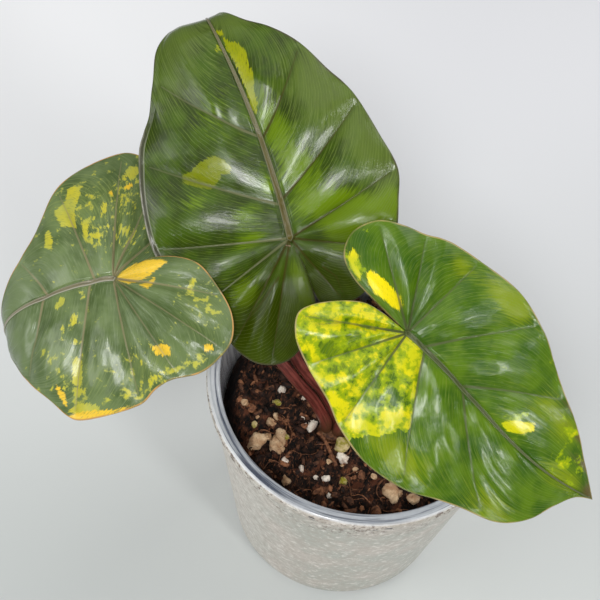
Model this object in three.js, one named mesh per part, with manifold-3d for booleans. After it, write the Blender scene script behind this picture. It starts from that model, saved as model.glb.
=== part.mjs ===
// Potted syngonium: three variegated arrow-shaped leaves on reddish petioles, in a clear nursery pot.
// Millimetres, +Z up. The pot stands on z = 0 with its axis on the Z axis; the viewer stands at -Y.
import * as THREE from 'three';
import { mergeVertices } from 'three/addons/utils/BufferGeometryUtils.js';
import Module from 'manifold-3d';

const wasm = await Module();
wasm.setup();

// Driving dimensions
const POT_HEIGHT = 88;
const RIM_RADIUS = 45;
const RIM_HEIGHT = 4;
const LIP_WIDTH = 3.9;
const SHOULDER_RADIUS = 43.6;
const BASE_RADIUS = 34.3;
const WALL = 1.2;
const FLOOR = 2.2;
const FOOT_RADIUS = 31.5;
const FOOT_INNER_RADIUS = 28;
const FOOT_RISE = 1.5;
const DRAIN_COUNT = 8;
const DRAIN_RADIUS = 3;
const DRAIN_CIRCLE = 21;

const SOIL_TOP = 70;
const SOIL_PLATEAU = 35;
const SOIL_EDGE_DROP = 7;
const FIT_GAP = 0.3;

const STEM_AT = [-5.8, -9.9];
const STEM_RADIUS = 4.2;
const STEM_BOTTOM = 36;
const STEM_TOP = 71.4;
const PETIOLE_RADIUS = 1.55;

const BLADE_THICKNESS = 0.8;
const LINES_PER_POINT = 2;
const RING_STEPS = [0, 0.05, 0.13, 0.3, 0.5, 0.7, 0.87, 1];
const RIB_DEPTH = [1.3, 0.7, 0.15];
const RIB_RISE = [0.35, 0.2, 0.05];

const colours = {
  pot: 0xc9cdcc,
  soil: 0x2b211b,
  stem: 0x6a4a35,
  petiole: 0x7c3f33,
  blade_back: 0x4e7016,
  blade_right: 0x5f8a2a,
  blade_left: 0x4f6e4a,
};

// Shared helpers
const smooth = (x) => {
  const c = Math.min(1, Math.max(0, x));
  return c * c * (3 - 2 * c);
};

function seeded(seed) {
  let state = seed;
  return () => {
    state = (state * 1103515245 + 12345) % 2147483648;
    return state / 2147483648;
  };
}

function toManifold(geometry) {
  const plain = geometry.clone();
  plain.deleteAttribute('normal');
  plain.deleteAttribute('uv');
  const merged = mergeVertices(plain, 1e-3);
  return new wasm.Manifold(new wasm.Mesh({
    numProp: 3,
    vertProperties: Float32Array.from(merged.attributes.position.array),
    triVerts: Uint32Array.from(merged.index.array),
  }));
}

function toGeometry(solid) {
  const mesh = solid.getMesh();
  const positions = new Float32Array(mesh.numVert * 3);
  for (let i = 0; i < mesh.numVert; i += 1) {
    for (let axis = 0; axis < 3; axis += 1) {
      positions[3 * i + axis] = mesh.vertProperties[mesh.numProp * i + axis];
    }
  }
  const geometry = new THREE.BufferGeometry();
  geometry.setAttribute('position', new THREE.BufferAttribute(positions, 3));
  geometry.setIndex(Array.from(mesh.triVerts));
  geometry.computeVertexNormals();
  return geometry;
}

function indexed(points, triangles) {
  const geometry = new THREE.BufferGeometry();
  const flat = points.flatMap((p) => [p.x, p.y, p.z]);
  geometry.setAttribute('position', new THREE.Float32BufferAttribute(flat, 3));
  geometry.setIndex(triangles.flat());
  geometry.computeVertexNormals();
  return geometry;
}

function upright(radius, bottom, top, x, y, sides) {
  const geometry = new THREE.CylinderGeometry(radius, radius, top - bottom, sides);
  geometry.rotateX(Math.PI / 2);
  geometry.translate(x, y, (top + bottom) / 2);
  return geometry;
}

const group = new THREE.Group();

function addPart(name, geometry, colour, roughness, extra = {}) {
  const material = new THREE.MeshStandardMaterial({ color: colour, roughness, metalness: 0, ...extra });
  const mesh = new THREE.Mesh(geometry, material);
  mesh.name = name;
  group.add(mesh);
}

// Pot
// A thin tapered cup: foot ring and flat middle on the ground, rolled collar at the top.
const outerRadiusAt = (z) => BASE_RADIUS + (SHOULDER_RADIUS - BASE_RADIUS) * z / (POT_HEIGHT - RIM_HEIGHT);
const innerRadiusAt = (z) => outerRadiusAt(z) - WALL;

function potGeometry() {
  const shoulder = POT_HEIGHT - RIM_HEIGHT;
  const profile = [
    [0, 0],
    [DRAIN_CIRCLE - 6, 0],
    [DRAIN_CIRCLE - 5, FOOT_RISE - 0.4],
    [FOOT_INNER_RADIUS - 1, FOOT_RISE - 0.4],
    [FOOT_INNER_RADIUS, 0],
    [FOOT_RADIUS, 0],
    [FOOT_RADIUS + 0.8, 0.6],
    [outerRadiusAt(2) - 0.4, 1.2],
    [outerRadiusAt(3), 3],
    [outerRadiusAt(shoulder), shoulder],
    [RIM_RADIUS - 0.3, shoulder + 0.3],
    [RIM_RADIUS, shoulder + 1.2],
    [RIM_RADIUS, POT_HEIGHT - 1],
    [RIM_RADIUS - 0.5, POT_HEIGHT - 0.2],
    [RIM_RADIUS - 1.1, POT_HEIGHT],
    [RIM_RADIUS - 2.1, POT_HEIGHT - 0.3],
    [RIM_RADIUS - LIP_WIDTH, POT_HEIGHT - 1.1],
    [RIM_RADIUS - LIP_WIDTH, POT_HEIGHT - 2.1],
    [innerRadiusAt(shoulder) + 0.1, shoulder],
    [innerRadiusAt(FLOOR + 1.5), FLOOR + 1.5],
    [innerRadiusAt(FLOOR) - 1.5, FLOOR],
    [0, FLOOR],
  ];
  const cup = new THREE.LatheGeometry(profile.map(([r, z]) => new THREE.Vector2(r, z)), 48);
  cup.rotateX(Math.PI / 2);
  let solid = toManifold(cup);
  for (let i = 0; i < DRAIN_COUNT; i += 1) {
    const angle = (i / DRAIN_COUNT) * Math.PI * 2;
    const x = DRAIN_CIRCLE * Math.cos(angle);
    const y = DRAIN_CIRCLE * Math.sin(angle);
    solid = solid.subtract(toManifold(upright(DRAIN_RADIUS, -2, FLOOR + 2, x, y, 12)));
  }
  return toGeometry(solid);
}

// Soil
// Filled to a bumpy plateau that falls away next to the wall, with pumice lumps fused to the top.
function soilTopAt(x, y) {
  const r = Math.hypot(x, y);
  const bumps = 0.55 * Math.sin(0.42 * x + 1.3) * Math.cos(0.47 * y + 0.4)
    + 0.35 * Math.sin(0.95 * x - 0.71 * y)
    + 0.25 * Math.cos(1.3 * y + 0.9 * x);
  return SOIL_TOP + bumps - SOIL_EDGE_DROP * smooth((r - SOIL_PLATEAU) / 4.5);
}

function soilGeometry() {
  const sides = 60;
  const rings = [7, 13, 19, 25, 31, 35.5, 38];
  const wallTop = SOIL_TOP - SOIL_EDGE_DROP;
  const edge = innerRadiusAt(wallTop) - FIT_GAP;
  const bottom = FLOOR + FIT_GAP;
  const points = [new THREE.Vector3(0, 0, soilTopAt(0, 0))];
  const triangles = [];
  const ringAt = (radius, heightAt) => {
    const start = points.length;
    for (let i = 0; i < sides; i += 1) {
      const angle = (i / sides) * Math.PI * 2;
      const x = radius * Math.cos(angle);
      const y = radius * Math.sin(angle);
      points.push(new THREE.Vector3(x, y, heightAt(x, y)));
    }
    return start;
  };
  const starts = rings.map((radius) => ringAt(radius, soilTopAt));
  starts.push(ringAt(edge, () => wallTop));
  starts.push(ringAt(innerRadiusAt(bottom) - 2, () => bottom));
  const last = points.length;
  points.push(new THREE.Vector3(0, 0, bottom));
  for (let i = 0; i < sides; i += 1) {
    const j = (i + 1) % sides;
    triangles.push([0, starts[0] + i, starts[0] + j]);
    for (let k = 0; k + 1 < starts.length; k += 1) {
      triangles.push([starts[k] + i, starts[k + 1] + i, starts[k + 1] + j]);
      triangles.push([starts[k] + i, starts[k + 1] + j, starts[k] + j]);
    }
    triangles.push([starts[starts.length - 1] + i, last, starts[starts.length - 1] + j]);
  }
  let solid = toManifold(indexed(points, triangles));

  // Pumice and bark lumps: [x, y, length, width] of the larger ones, then small ones by a seeded rule.
  const lumps = [
    [-26.3, -20, 5.4, 4.6],
    [-19.6, -17.4, 6.2, 4.4],
    [-20.2, -22, 4.8, 4],
    [-12.6, -11.6, 3.6, 2.6],
    [-1.9, -14.9, 4.6, 4],
    [0.4, -19, 3.6, 2.6],
    [14.6, -25.3, 5.6, 5],
    [20.6, -26.2, 4, 3],
  ];
  const random = seeded(11);
  while (lumps.length < 24) {
    const angle = random() * Math.PI * 2;
    const r = 12 + 21 * random();
    const x = r * Math.cos(angle);
    const y = r * Math.sin(angle);
    const size = 2.6 + 2 * random();
    if (Math.hypot(x - STEM_AT[0], y - STEM_AT[1]) > STEM_RADIUS + 4) {
      lumps.push([x, y, 1.3 * size, size]);
    }
  }
  for (const [x, y, length, width] of lumps) {
    const lump = new THREE.IcosahedronGeometry(0.5, 0);
    lump.scale(length, width, 0.75 * width);
    lump.rotateZ(x + y);
    lump.translate(x, y, soilTopAt(x, y) + 0.18 * width);
    solid = solid.add(toManifold(lump));
  }
  const [sx, sy] = STEM_AT;
  solid = solid.subtract(toManifold(upright(STEM_RADIUS + FIT_GAP, STEM_BOTTOM - FIT_GAP, 90, sx, sy, 20)));
  return toGeometry(solid);
}

// Stem
// Short crown that stands in its hole in the soil and carries the three petioles.
function stemGeometry() {
  const profile = [
    [0, STEM_BOTTOM],
    [2.6, STEM_BOTTOM],
    [STEM_RADIUS - 0.4, STEM_BOTTOM + 6],
    [STEM_RADIUS, STEM_BOTTOM + 14],
    [STEM_RADIUS - 0.5, STEM_BOTTOM + 22],
    [STEM_RADIUS, STEM_TOP - 5],
    [STEM_RADIUS - 0.1, STEM_TOP - 1],
    [STEM_RADIUS - 0.7, STEM_TOP],
    [0, STEM_TOP],
  ];
  const geometry = new THREE.LatheGeometry(profile.map(([r, z]) => new THREE.Vector2(r, z)), 20);
  geometry.rotateX(Math.PI / 2);
  geometry.translate(STEM_AT[0], STEM_AT[1], 0);
  return toGeometry(toManifold(geometry));
}

// Leaves
// A blade is described in its own (s, t) plane: s runs along the midrib from the petiole junction to
// the tip, t runs across it, positive to the left of somebody looking at the tip. Each half outline
// runs from the tip over the side and the basal lobe to the notch beside the junction. The same point
// numbers of both halves face each other, so the midrib feet of the vein lines are shared. Near the notch
// the halves pass under one another and are joined as solids.
const JUNCTION_POINT = 9;

const leaves = {
  back: {
    junction: [-26.1, 0.5, 146.6],
    heading: 130,
    pitch: 27,
    roll: 20,
    droop: 0.25,
    lobeDroop: 0.15,
    curl: 1.7,
    curlFrom: 53,
    curlTo: 71,
    fold: 0.03,
    dome: 0.001,
    bow: -2.2,
    bowSkew: 0.85,
    feet: [1, 0.82, 0.65, 0.48, 0.35, 0.27, 0.2, 0.13, 0.06, 0],
    lap: 1.1,
    sag: [0, 0],
    quilt: 1.3,
    veins: [[3.4, 7.2, 9, 11, 12.8, 14.5], [4, 7, 9, 11.6, 14]],
    halves: [
      [[72, 1.5], [67, 6.5], [62.5, 11], [56.5, 15], [48.5, 18.2], [42, 21.5], [38, 24.7], [33, 27.6],
        [21, 31.3], [9.5, 32.8], [1, 30.6], [-8, 26.3], [-14.5, 24.3], [-21, 22.3], [-26, 18.5],
        [-28, 12.5], [-25.5, 6.5], [-19, 0.6], [-11, -0.9], [-3, -0.4]],
      [[72, 1.5], [64, -4.5], [57, -8.5], [51.5, -14], [44.5, -19.5], [36, -23.5], [31, -26], [25.5, -27.8],
        [16, -29.5], [6.5, -30.7], [-1, -28], [-7.5, -25], [-13.5, -20], [-18.3, -13.5], [-20, -7],
        [-18.2, -1.6], [-14, -0.5], [-10, 0], [-6.5, 0.2], [-3, 0.2]],
    ],
  },
  right: {
    junction: [7.3, -18.1, 147],
    heading: -18,
    pitch: -23,
    roll: -23,
    droop: 0.2,
    lobeDroop: 0.2,
    curl: 0.1,
    curlFrom: 60,
    curlTo: 66,
    fold: 0.06,
    dome: 0.003,
    bow: -3.4,
    bowSkew: 1.6,
    feet: [1, 0.8, 0.62, 0.46, 0.33, 0.25, 0.17, 0.09, 0.03, 0],
    lap: 0,
    sag: [0, 0],
    quilt: 1.5,
    veins: [[4.6, 7.2, 9, 12, 14], [4.4, 7, 9, 12, 14]],
    halves: [
      [[65, -0.5], [60.5, 2.2], [56.5, 5], [52, 8.2], [46, 11.3], [39.5, 14.6], [33, 18.4], [26.5, 21.8],
        [15, 25.2], [3, 24.6], [-4, 23.6], [-8, 22.4], [-11.5, 20.8], [-17, 19], [-22.5, 15.8],
        [-25.3, 10], [-23.5, 4.5], [-18, 1.6], [-10, 0.6], [-3, 0.1]],
      [[65, -0.5], [60.5, -3], [57.5, -8], [54, -14.5], [47.5, -20.3], [38, -23.3], [31, -25.8], [23, -28.8],
        [12, -29.7], [2, -27.3], [-4, -24.5], [-9, -22.7], [-13.5, -21], [-19.5, -18], [-22.9, -13.5],
        [-21.8, -9.5], [-18, -5.2], [-13, -1.4], [-8, -0.2], [-3, 0]],
    ],
  },
  left: {
    junction: [-66.4, -16.9, 136.8],
    heading: -153,
    pitch: -20,
    roll: 13,
    droop: 0.4,
    lobeDroop: 0.25,
    curl: 1.25,
    curlFrom: 19,
    curlTo: 48,
    fold: 0.06,
    dome: 0.0065,
    bow: -1.8,
    bowSkew: 0.75,
    feet: [1, 0.84, 0.68, 0.53, 0.38, 0.29, 0.2, 0.1, 0.04, 0],
    lap: 1.1,
    sag: [0, 2.6],
    quilt: 1.3,
    veins: [[3.8, 6.7, 9, 11.3, 13.5, 15.6], [4, 7, 9.7, 12, 14]],
    halves: [
      [[47, 1], [42, 4.5], [38, 8], [34.5, 12], [30, 17.5], [26.5, 22.4], [23.5, 27.3], [19.5, 30],
        [11.5, 31.2], [3, 31.2], [-2, 29.3], [-7, 28.4], [-13.5, 28.8], [-19, 27.2], [-24, 23.8],
        [-25.8, 17.5], [-24.2, 10], [-20.5, 2.8], [-12, -1.2], [-3, -0.55]],
      [[47, 1], [42, -2], [36, -5], [30, -8.4], [23.5, -13.4], [18.5, -18.2], [14.5, -23.2], [9.5, -29.2],
        [3, -32.6], [-5, -34.2], [-11, -33.8], [-15.5, -30], [-17.3, -23.5], [-17.8, -16.5], [-17.5, -11],
        [-16.2, -6.5], [-14, -2.8], [-11, -0.7], [-7, 0], [-3, 0.2]],
    ],
  },
};

const radians = (degrees) => degrees * Math.PI / 180;

// Axes of the blade at its junction: along the midrib, across it and out of the upper face.
function bladeAxes(leaf) {
  const heading = radians(leaf.heading);
  const pitch = radians(leaf.pitch);
  const roll = radians(leaf.roll);
  const along = new THREE.Vector3(
    Math.cos(pitch) * Math.cos(heading),
    Math.cos(pitch) * Math.sin(heading),
    Math.sin(pitch),
  );
  const level = new THREE.Vector3(0, 0, 1).addScaledVector(along, -along.z).normalize();
  const side = new THREE.Vector3().crossVectors(level, along);
  const up = level.clone().multiplyScalar(Math.cos(roll)).addScaledVector(side, Math.sin(roll));
  const across = new THREE.Vector3().crossVectors(up, along);
  return { along, across, up };
}

function bendAt(leaf, s) {
  const base = s >= 0 ? leaf.droop * s / 60 : leaf.lobeDroop * s / 30;
  return base + leaf.curl * smooth((s - leaf.curlFrom) / (leaf.curlTo - leaf.curlFrom));
}

// Bent midrib line: distance travelled along and below the junction plane, by steps of 0.5 mm.
function bladeSurface(leaf) {
  const { along, across, up } = bladeAxes(leaf);
  const origin = new THREE.Vector3(...leaf.junction);
  const step = 0.5;
  const travel = (s) => {
    const count = Math.max(1, Math.ceil(Math.abs(s) / step));
    const ds = s / count;
    let forward = 0;
    let down = 0;
    for (let i = 0; i < count; i += 1) {
      const bend = bendAt(leaf, (i + 0.5) * ds);
      forward += Math.cos(bend) * ds;
      down += Math.sin(bend) * ds;
    }
    return [forward, down];
  };
  const normalAt = (s) => {
    const bend = bendAt(leaf, s);
    return up.clone().multiplyScalar(Math.cos(bend)).addScaledVector(along, Math.sin(bend));
  };
  const pointAt = (s, t, height) => {
    const [forward, down] = travel(s);
    return origin.clone()
      .addScaledVector(along, forward)
      .addScaledVector(up, -down)
      .addScaledVector(across, t)
      .addScaledVector(normalAt(s), height);
  };
  return { pointAt, normalAt, along, across, up };
}

function catmull(points, at) {
  const i = Math.min(points.length - 2, Math.floor(at));
  const f = at - i;
  const p = [-1, 0, 1, 2].map((k) => points[Math.min(points.length - 1, Math.max(0, i + k))]);
  return [0, 1].map((axis) => {
    const [a, b, c, d] = p.map((q) => q[axis]);
    return 0.5 * (2 * b + (c - a) * f + (2 * a - 5 * b + 4 * c - d) * f * f
      + (3 * b - a - 3 * c + d) * f * f * f);
  });
}

// Sideways place of the midrib, which bows and swings over at the tip.
function midribAt(leaf, s) {
  const [tipS, tipT] = leaf.halves[0][0];
  const f = Math.min(1, Math.max(0, s / tipS));
  return leaf.bow * Math.sin(Math.PI * f ** leaf.bowSkew) + tipT * f ** 4;
}

// Midrib foot of the vein line at u, as a fraction of the length; from the junction point on it is 0.
function footAt(leaf, u) {
  const i = Math.min(leaf.feet.length - 1, Math.floor(u));
  const next = leaf.feet[i + 1] ?? 0;
  return leaf.feet[i] + (next - leaf.feet[i]) * Math.min(1, u - i);
}

// Point of a vein line: u is the place along the half outline in point numbers, rho goes from the
// midrib foot (0) to the margin (1). Lines lean a little toward the tip on their way out.
function veinLine(leaf, half, u, rho) {
  const footS = leaf.halves[0][0][0] * footAt(leaf, u);
  const footT = midribAt(leaf, footS);
  const [endS, endT] = catmull(leaf.halves[half], u);
  const reach = Math.hypot(endS - footS, endT - footT);
  const lean = 0.1 * reach * smooth(1.2 - u / JUNCTION_POINT);
  const hump = 4 * rho * (1 - rho);
  return {
    s: footS + (endS - footS) * rho - lean * hump * 0.5,
    t: footT + (endT - footT) * rho,
    reach,
  };
}

// Height of the upper face above the bent plane.
function reliefAt(leaf, half, u, rho, s, t, reach) {
  const d = t - midribAt(leaf, s);
  const section = leaf.fold * (Math.sqrt(d * d + 4) - 2) - leaf.dome * d * d;
  const stops = [0, ...leaf.veins[half], leaf.halves[half].length - 1];
  const k = stops.findIndex((stop, i) => i > 0 && u <= stop);
  const between = (u - stops[k - 1]) / (stops[k] - stops[k - 1]);
  const size = Math.min(1, reach / 24);
  const quilt = leaf.quilt * size * smooth(u / 4) * Math.sin(Math.PI * between) * (4 * rho * (1 - rho)) ** 0.8;
  const wave = 0.5 * size * rho ** 3 * Math.sin(1.9 * u + half);
  const lap = (half === 0 ? 1 : -1) * leaf.lap * smooth((-s - 3) / 7) * smooth(1.4 - Math.abs(t) / 12);
  const sag = leaf.sag[half] * smooth(-s / 15);
  return section + quilt + wave + lap - sag;
}

// One half as a closed body: both faces, the margin wall, a wall down the midrib and one at the notch.
function halfBlade(leaf, surface, half) {
  const pointCount = leaf.halves[half].length - 1;
  const lines = pointCount * LINES_PER_POINT;
  const rings = RING_STEPS.length - 1;
  const points = [];
  const triangles = [];
  const numbers = new Map();

  const vertex = (line, ring, face) => {
    const u = line / LINES_PER_POINT;
    const atJunction = ring === 0 && u >= JUNCTION_POINT;
    const key = line === 0 ? `tip/${face}` : `${atJunction ? 'junction' : line}/${ring}/${face}`;
    if (!numbers.has(key)) {
      const { s, t, reach } = veinLine(leaf, half, u, RING_STEPS[ring]);
      const strength = smooth((pointCount + 4 - u) / 6) * Math.min(1, reach / 10);
      const share = ring === 0 ? Math.min(1, (leaf.halves[0][0][0] - s) / 12) : strength;
      const rise = (RIB_RISE[ring] ?? 0) * share;
      const depth = (RIB_DEPTH[ring] ?? 0) * share + BLADE_THICKNESS;
      const height = reliefAt(leaf, half, u, RING_STEPS[ring], s, t, reach);
      numbers.set(key, points.length);
      points.push(surface.pointAt(s, t, face === 0 ? height + rise : height - depth));
    }
    return numbers.get(key);
  };

  const addTriangle = (a, b, c, flip) => {
    if (a !== b && b !== c && a !== c) {
      triangles.push(flip ? [a, c, b] : [a, b, c]);
    }
  };
  const addQuad = (a, b, c, d, flip) => {
    addTriangle(a, b, c, flip);
    addTriangle(a, c, d, flip);
  };

  for (let line = 0; line < lines; line += 1) {
    const next = line + 1;
    for (let ring = 0; ring < rings; ring += 1) {
      for (let face = 0; face < 2; face += 1) {
        const corners = [[line, ring], [line, ring + 1], [next, ring + 1], [next, ring]];
        addQuad(...corners.map(([l, r]) => vertex(l, r, face)), (half + face) % 2 === 1);
      }
    }
    for (const ring of [0, rings]) {
      const flip = (half === 1) !== (ring === 0);
      addQuad(vertex(line, ring, 0), vertex(line, ring, 1), vertex(next, ring, 1), vertex(next, ring, 0), flip);
    }
  }
  for (let ring = 0; ring < rings; ring += 1) {
    addQuad(vertex(lines, ring, 0), vertex(lines, ring + 1, 0), vertex(lines, ring + 1, 1),
      vertex(lines, ring, 1), half === 1);
  }
  return toManifold(indexed(points, triangles));
}

function bladeGeometry(leaf) {
  const surface = bladeSurface(leaf);
  return toGeometry(halfBlade(leaf, surface, 0).add(halfBlade(leaf, surface, 1)));
}

// Petioles
// Round stalks from the crown to just under each blade; the way points bend them over at the top.
function petioleGeometry(wayPoints, sides, steps) {
  const path = new THREE.CatmullRomCurve3(wayPoints.map((p) => new THREE.Vector3(...p)), false, 'centripetal');
  const section = new THREE.Shape();
  for (let i = 0; i < sides; i += 1) {
    const angle = (i / sides) * Math.PI * 2;
    const groove = 1 - 0.14 * Math.exp(-(((angle - Math.PI) / 0.5) ** 2));
    const x = PETIOLE_RADIUS * groove * Math.cos(angle);
    const y = PETIOLE_RADIUS * groove * Math.sin(angle);
    if (i === 0) {
      section.moveTo(x, y);
    } else {
      section.lineTo(x, y);
    }
  }
  section.closePath();
  const tube = new THREE.ExtrudeGeometry(section, { steps, bevelEnabled: false, extrudePath: path });
  return toGeometry(toManifold(tube));
}

// Way points: foot on the crown, free stretch, then the end below the junction of the blade.
const petioleFoot = STEM_TOP + FIT_GAP;
const petiolePaths = {
  back: [
    [-5.6, -7.9, petioleFoot],
    [-5.7, -7.9, petioleFoot + 2.5],
    [-10.4, -7.3, 86],
    [-15, -8.3, 95],
    [-19, -8.9, 104],
    [-22, -8.4, 113],
    [-24.6, -6.2, 127],
    [-26, -2, 139],
    [-26.1, 0.2, 143.4],
  ],
  left: [
    [-7.6, -10.8, petioleFoot],
    [-7.7, -10.8, petioleFoot + 2.5],
    [-12.7, -10.3, 86],
    [-17.2, -11.3, 95],
    [-21.5, -12, 104],
    [-25.4, -12, 110.5],
    [-36.5, -11.6, 121.5],
    [-50, -13.2, 128.6],
    [-62, -15.8, 132.6],
    [-65.9, -16.9, 133.8],
  ],
  right: [
    [-3.9, -11, petioleFoot],
    [-3.8, -11, petioleFoot + 2.5],
    [-0.6, -10.6, 90],
    [2.6, -10.4, 110],
    [5, -11.8, 128],
    [6.6, -15.4, 140.6],
    [7, -17.4, 143.8],
  ],
};

// Assembly
addPart('pot', potGeometry(), colours.pot, 0.35, { transparent: true, opacity: 0.55 });
addPart('soil', soilGeometry(), colours.soil, 0.95);
addPart('stem', stemGeometry(), colours.stem, 0.7);
for (const name of ['back', 'right', 'left']) {
  addPart(`petiole_${name}`, petioleGeometry(petiolePaths[name], 12, 18), colours.petiole, 0.55);
  addPart(`blade_${name}`, bladeGeometry(leaves[name]), colours[`blade_${name}`], 0.4);
}

export default group;
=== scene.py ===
import math

import bpy
import bmesh
import numpy as np
from mathutils import Matrix, Vector


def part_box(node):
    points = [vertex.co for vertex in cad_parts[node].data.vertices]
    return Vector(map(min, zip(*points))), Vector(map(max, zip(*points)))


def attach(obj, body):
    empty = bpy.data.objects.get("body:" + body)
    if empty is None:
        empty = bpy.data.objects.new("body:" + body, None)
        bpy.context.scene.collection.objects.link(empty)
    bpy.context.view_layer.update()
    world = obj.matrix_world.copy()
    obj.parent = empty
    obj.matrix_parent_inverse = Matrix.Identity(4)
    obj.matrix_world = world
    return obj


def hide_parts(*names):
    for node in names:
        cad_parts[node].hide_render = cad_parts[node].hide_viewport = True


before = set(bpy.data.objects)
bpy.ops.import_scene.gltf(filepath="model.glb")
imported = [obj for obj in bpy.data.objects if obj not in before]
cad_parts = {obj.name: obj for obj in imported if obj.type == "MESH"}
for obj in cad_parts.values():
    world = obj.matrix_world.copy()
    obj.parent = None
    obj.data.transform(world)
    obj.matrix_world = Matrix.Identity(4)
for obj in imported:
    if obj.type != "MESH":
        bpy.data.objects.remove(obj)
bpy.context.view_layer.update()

# Lengths below are millimetres unless a name says otherwise, and become metres where a mesh is made.
MM = 0.001
WELD_REACH = 0.004

# Camera of the photograph
CAMERA_PLACE = (0.0, -175.0, 411.0)
CAMERA_PITCH = 58.8
CAMERA_YAW = -7.0
CAMERA_ROLL = 7.8
CAMERA_LENS = 77.58
SENSOR_WIDTH = 36.0

# Lights: place and size in metres, power in watts, colour. All point at the middle of the plant.
LIGHT_TARGET = (-0.01, 0.0, 0.12)
LIGHTS = {
    "front_box": ((-0.05, -0.6, 1.0), (0.2, 0.26), 5.6, (1, 1, 1)),
    "top_soft": ((-0.2, 0.12, 1.15), (0.8, 0.8), 1.5, (1, 1, 1)),
    "right_box": ((0.62, -0.5, 0.66), (0.14, 0.18), 2.4, (1, 1, 1)),
    "left_box": ((-0.65, -0.45, 0.6), (0.4, 0.4), 2.2, (1, 1, 1)),
    "window": ((0.5, 0.5, 0.8), (0.6, 0.6), 3.2, (1.0, 0.98, 0.96)),
}
SKY_COLOUR = (0.95, 0.97, 1.0, 1)
SKY_STRENGTH = 0.22
FLOOR_REACH = 3000.0
FLOOR_LEVEL = -0.05

# Pot
POT_HEIGHT = 88.0
RIM_RADIUS = 45.0
RIM_HEIGHT = 4.0
LIP_WIDTH = 3.9
SHOULDER_RADIUS = 43.6
BASE_RADIUS = 34.3
WALL = 1.2
FLOOR = 2.2
FOOT_RADIUS = 31.5
FOOT_INNER_RADIUS = 28.0
FOOT_RISE = 1.5
DRAIN_COUNT = 8
DRAIN_RADIUS = 3.0
DRAIN_CIRCLE = 21.0
DRAIN_SIDES = 40
POT_SIDES = 240

# Soil and crown
SOIL_TOP = 70.0
SOIL_PLATEAU = 35.0
SOIL_EDGE_DROP = 7.0
FIT_GAP = 0.3
STEM_AT = (-5.8, -9.9)
STEM_RADIUS = 4.2
STEM_TOP = 71.4
PETIOLE_RADIUS = 1.55
WELL_DEPTH = 1.2
LATTICE = 256
SOIL_SIDES = 380
SOIL_RINGS = 130
STEM_SIDES = 72
STEM_ROWS = 90
PETIOLE_SIDES = 36
PETIOLE_ROWS = 220

# Lumps and litter on the soil: how many, and how finely each is made
SMALL_STONES = 34
STONE_STEPS = 9
CHIPS = 760
CHIP_STEPS = 5
FIBRES = 80
FIBRE_STEPS = 16
FIBRE_SIDES = 7
SHORTEST_FIBRE = 6
TWIG_STEPS = 24
TWIG_SIDES = 9
TWIG_RADIUS = 0.55
LITTER_REACH = 37.5

# Blades: each is laid out in its own plane, s along the midrib from the junction, t across it.
JUNCTION_POINT = 9
BLADE_THICKNESS = 0.6
ROWS_PER_POINT = 12
VEIN_ROWS = (-0.16, -0.09, -0.05, -0.025, 0, 0.025, 0.05, 0.09, 0.16)
TOP_RINGS = 88
EDGE_STEPS = 4
LOWER_RINGS = 22
RING_CROWDING = 1.25
STRAND_SWING = 16.0
FINE_PITCH = 0.47
STATIONS = np.linspace(-60, 100, 1601)

# Added to a row's number and a strand's length on the second half of a blade, to tell the halves apart
HALF_MARK = 40
STRAND_OFFSET = 200

# Heights of the small relief
WAVE_HEIGHT = 0.5
VALLEY_DEPTH = 0.5
CORD_HEIGHT = 0.05
RIB_HEIGHT = 0.45
RIB_GROOVE = 0.14
FLUTE_DEPTH = 0.32
UNDER_RIB = 1.1
UNDER_CORD = 0.4
EDGE_BULGE = 0.22

# What the blades share unless one of them says otherwise
BLADE_DEFAULTS = dict(
    lap=1.1, sag=(0, 0), fade=4, lobe_relief=1, faint=[[], []], rim_lift=(0.08, 0.08), mounds=[], branches=[],
)

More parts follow.
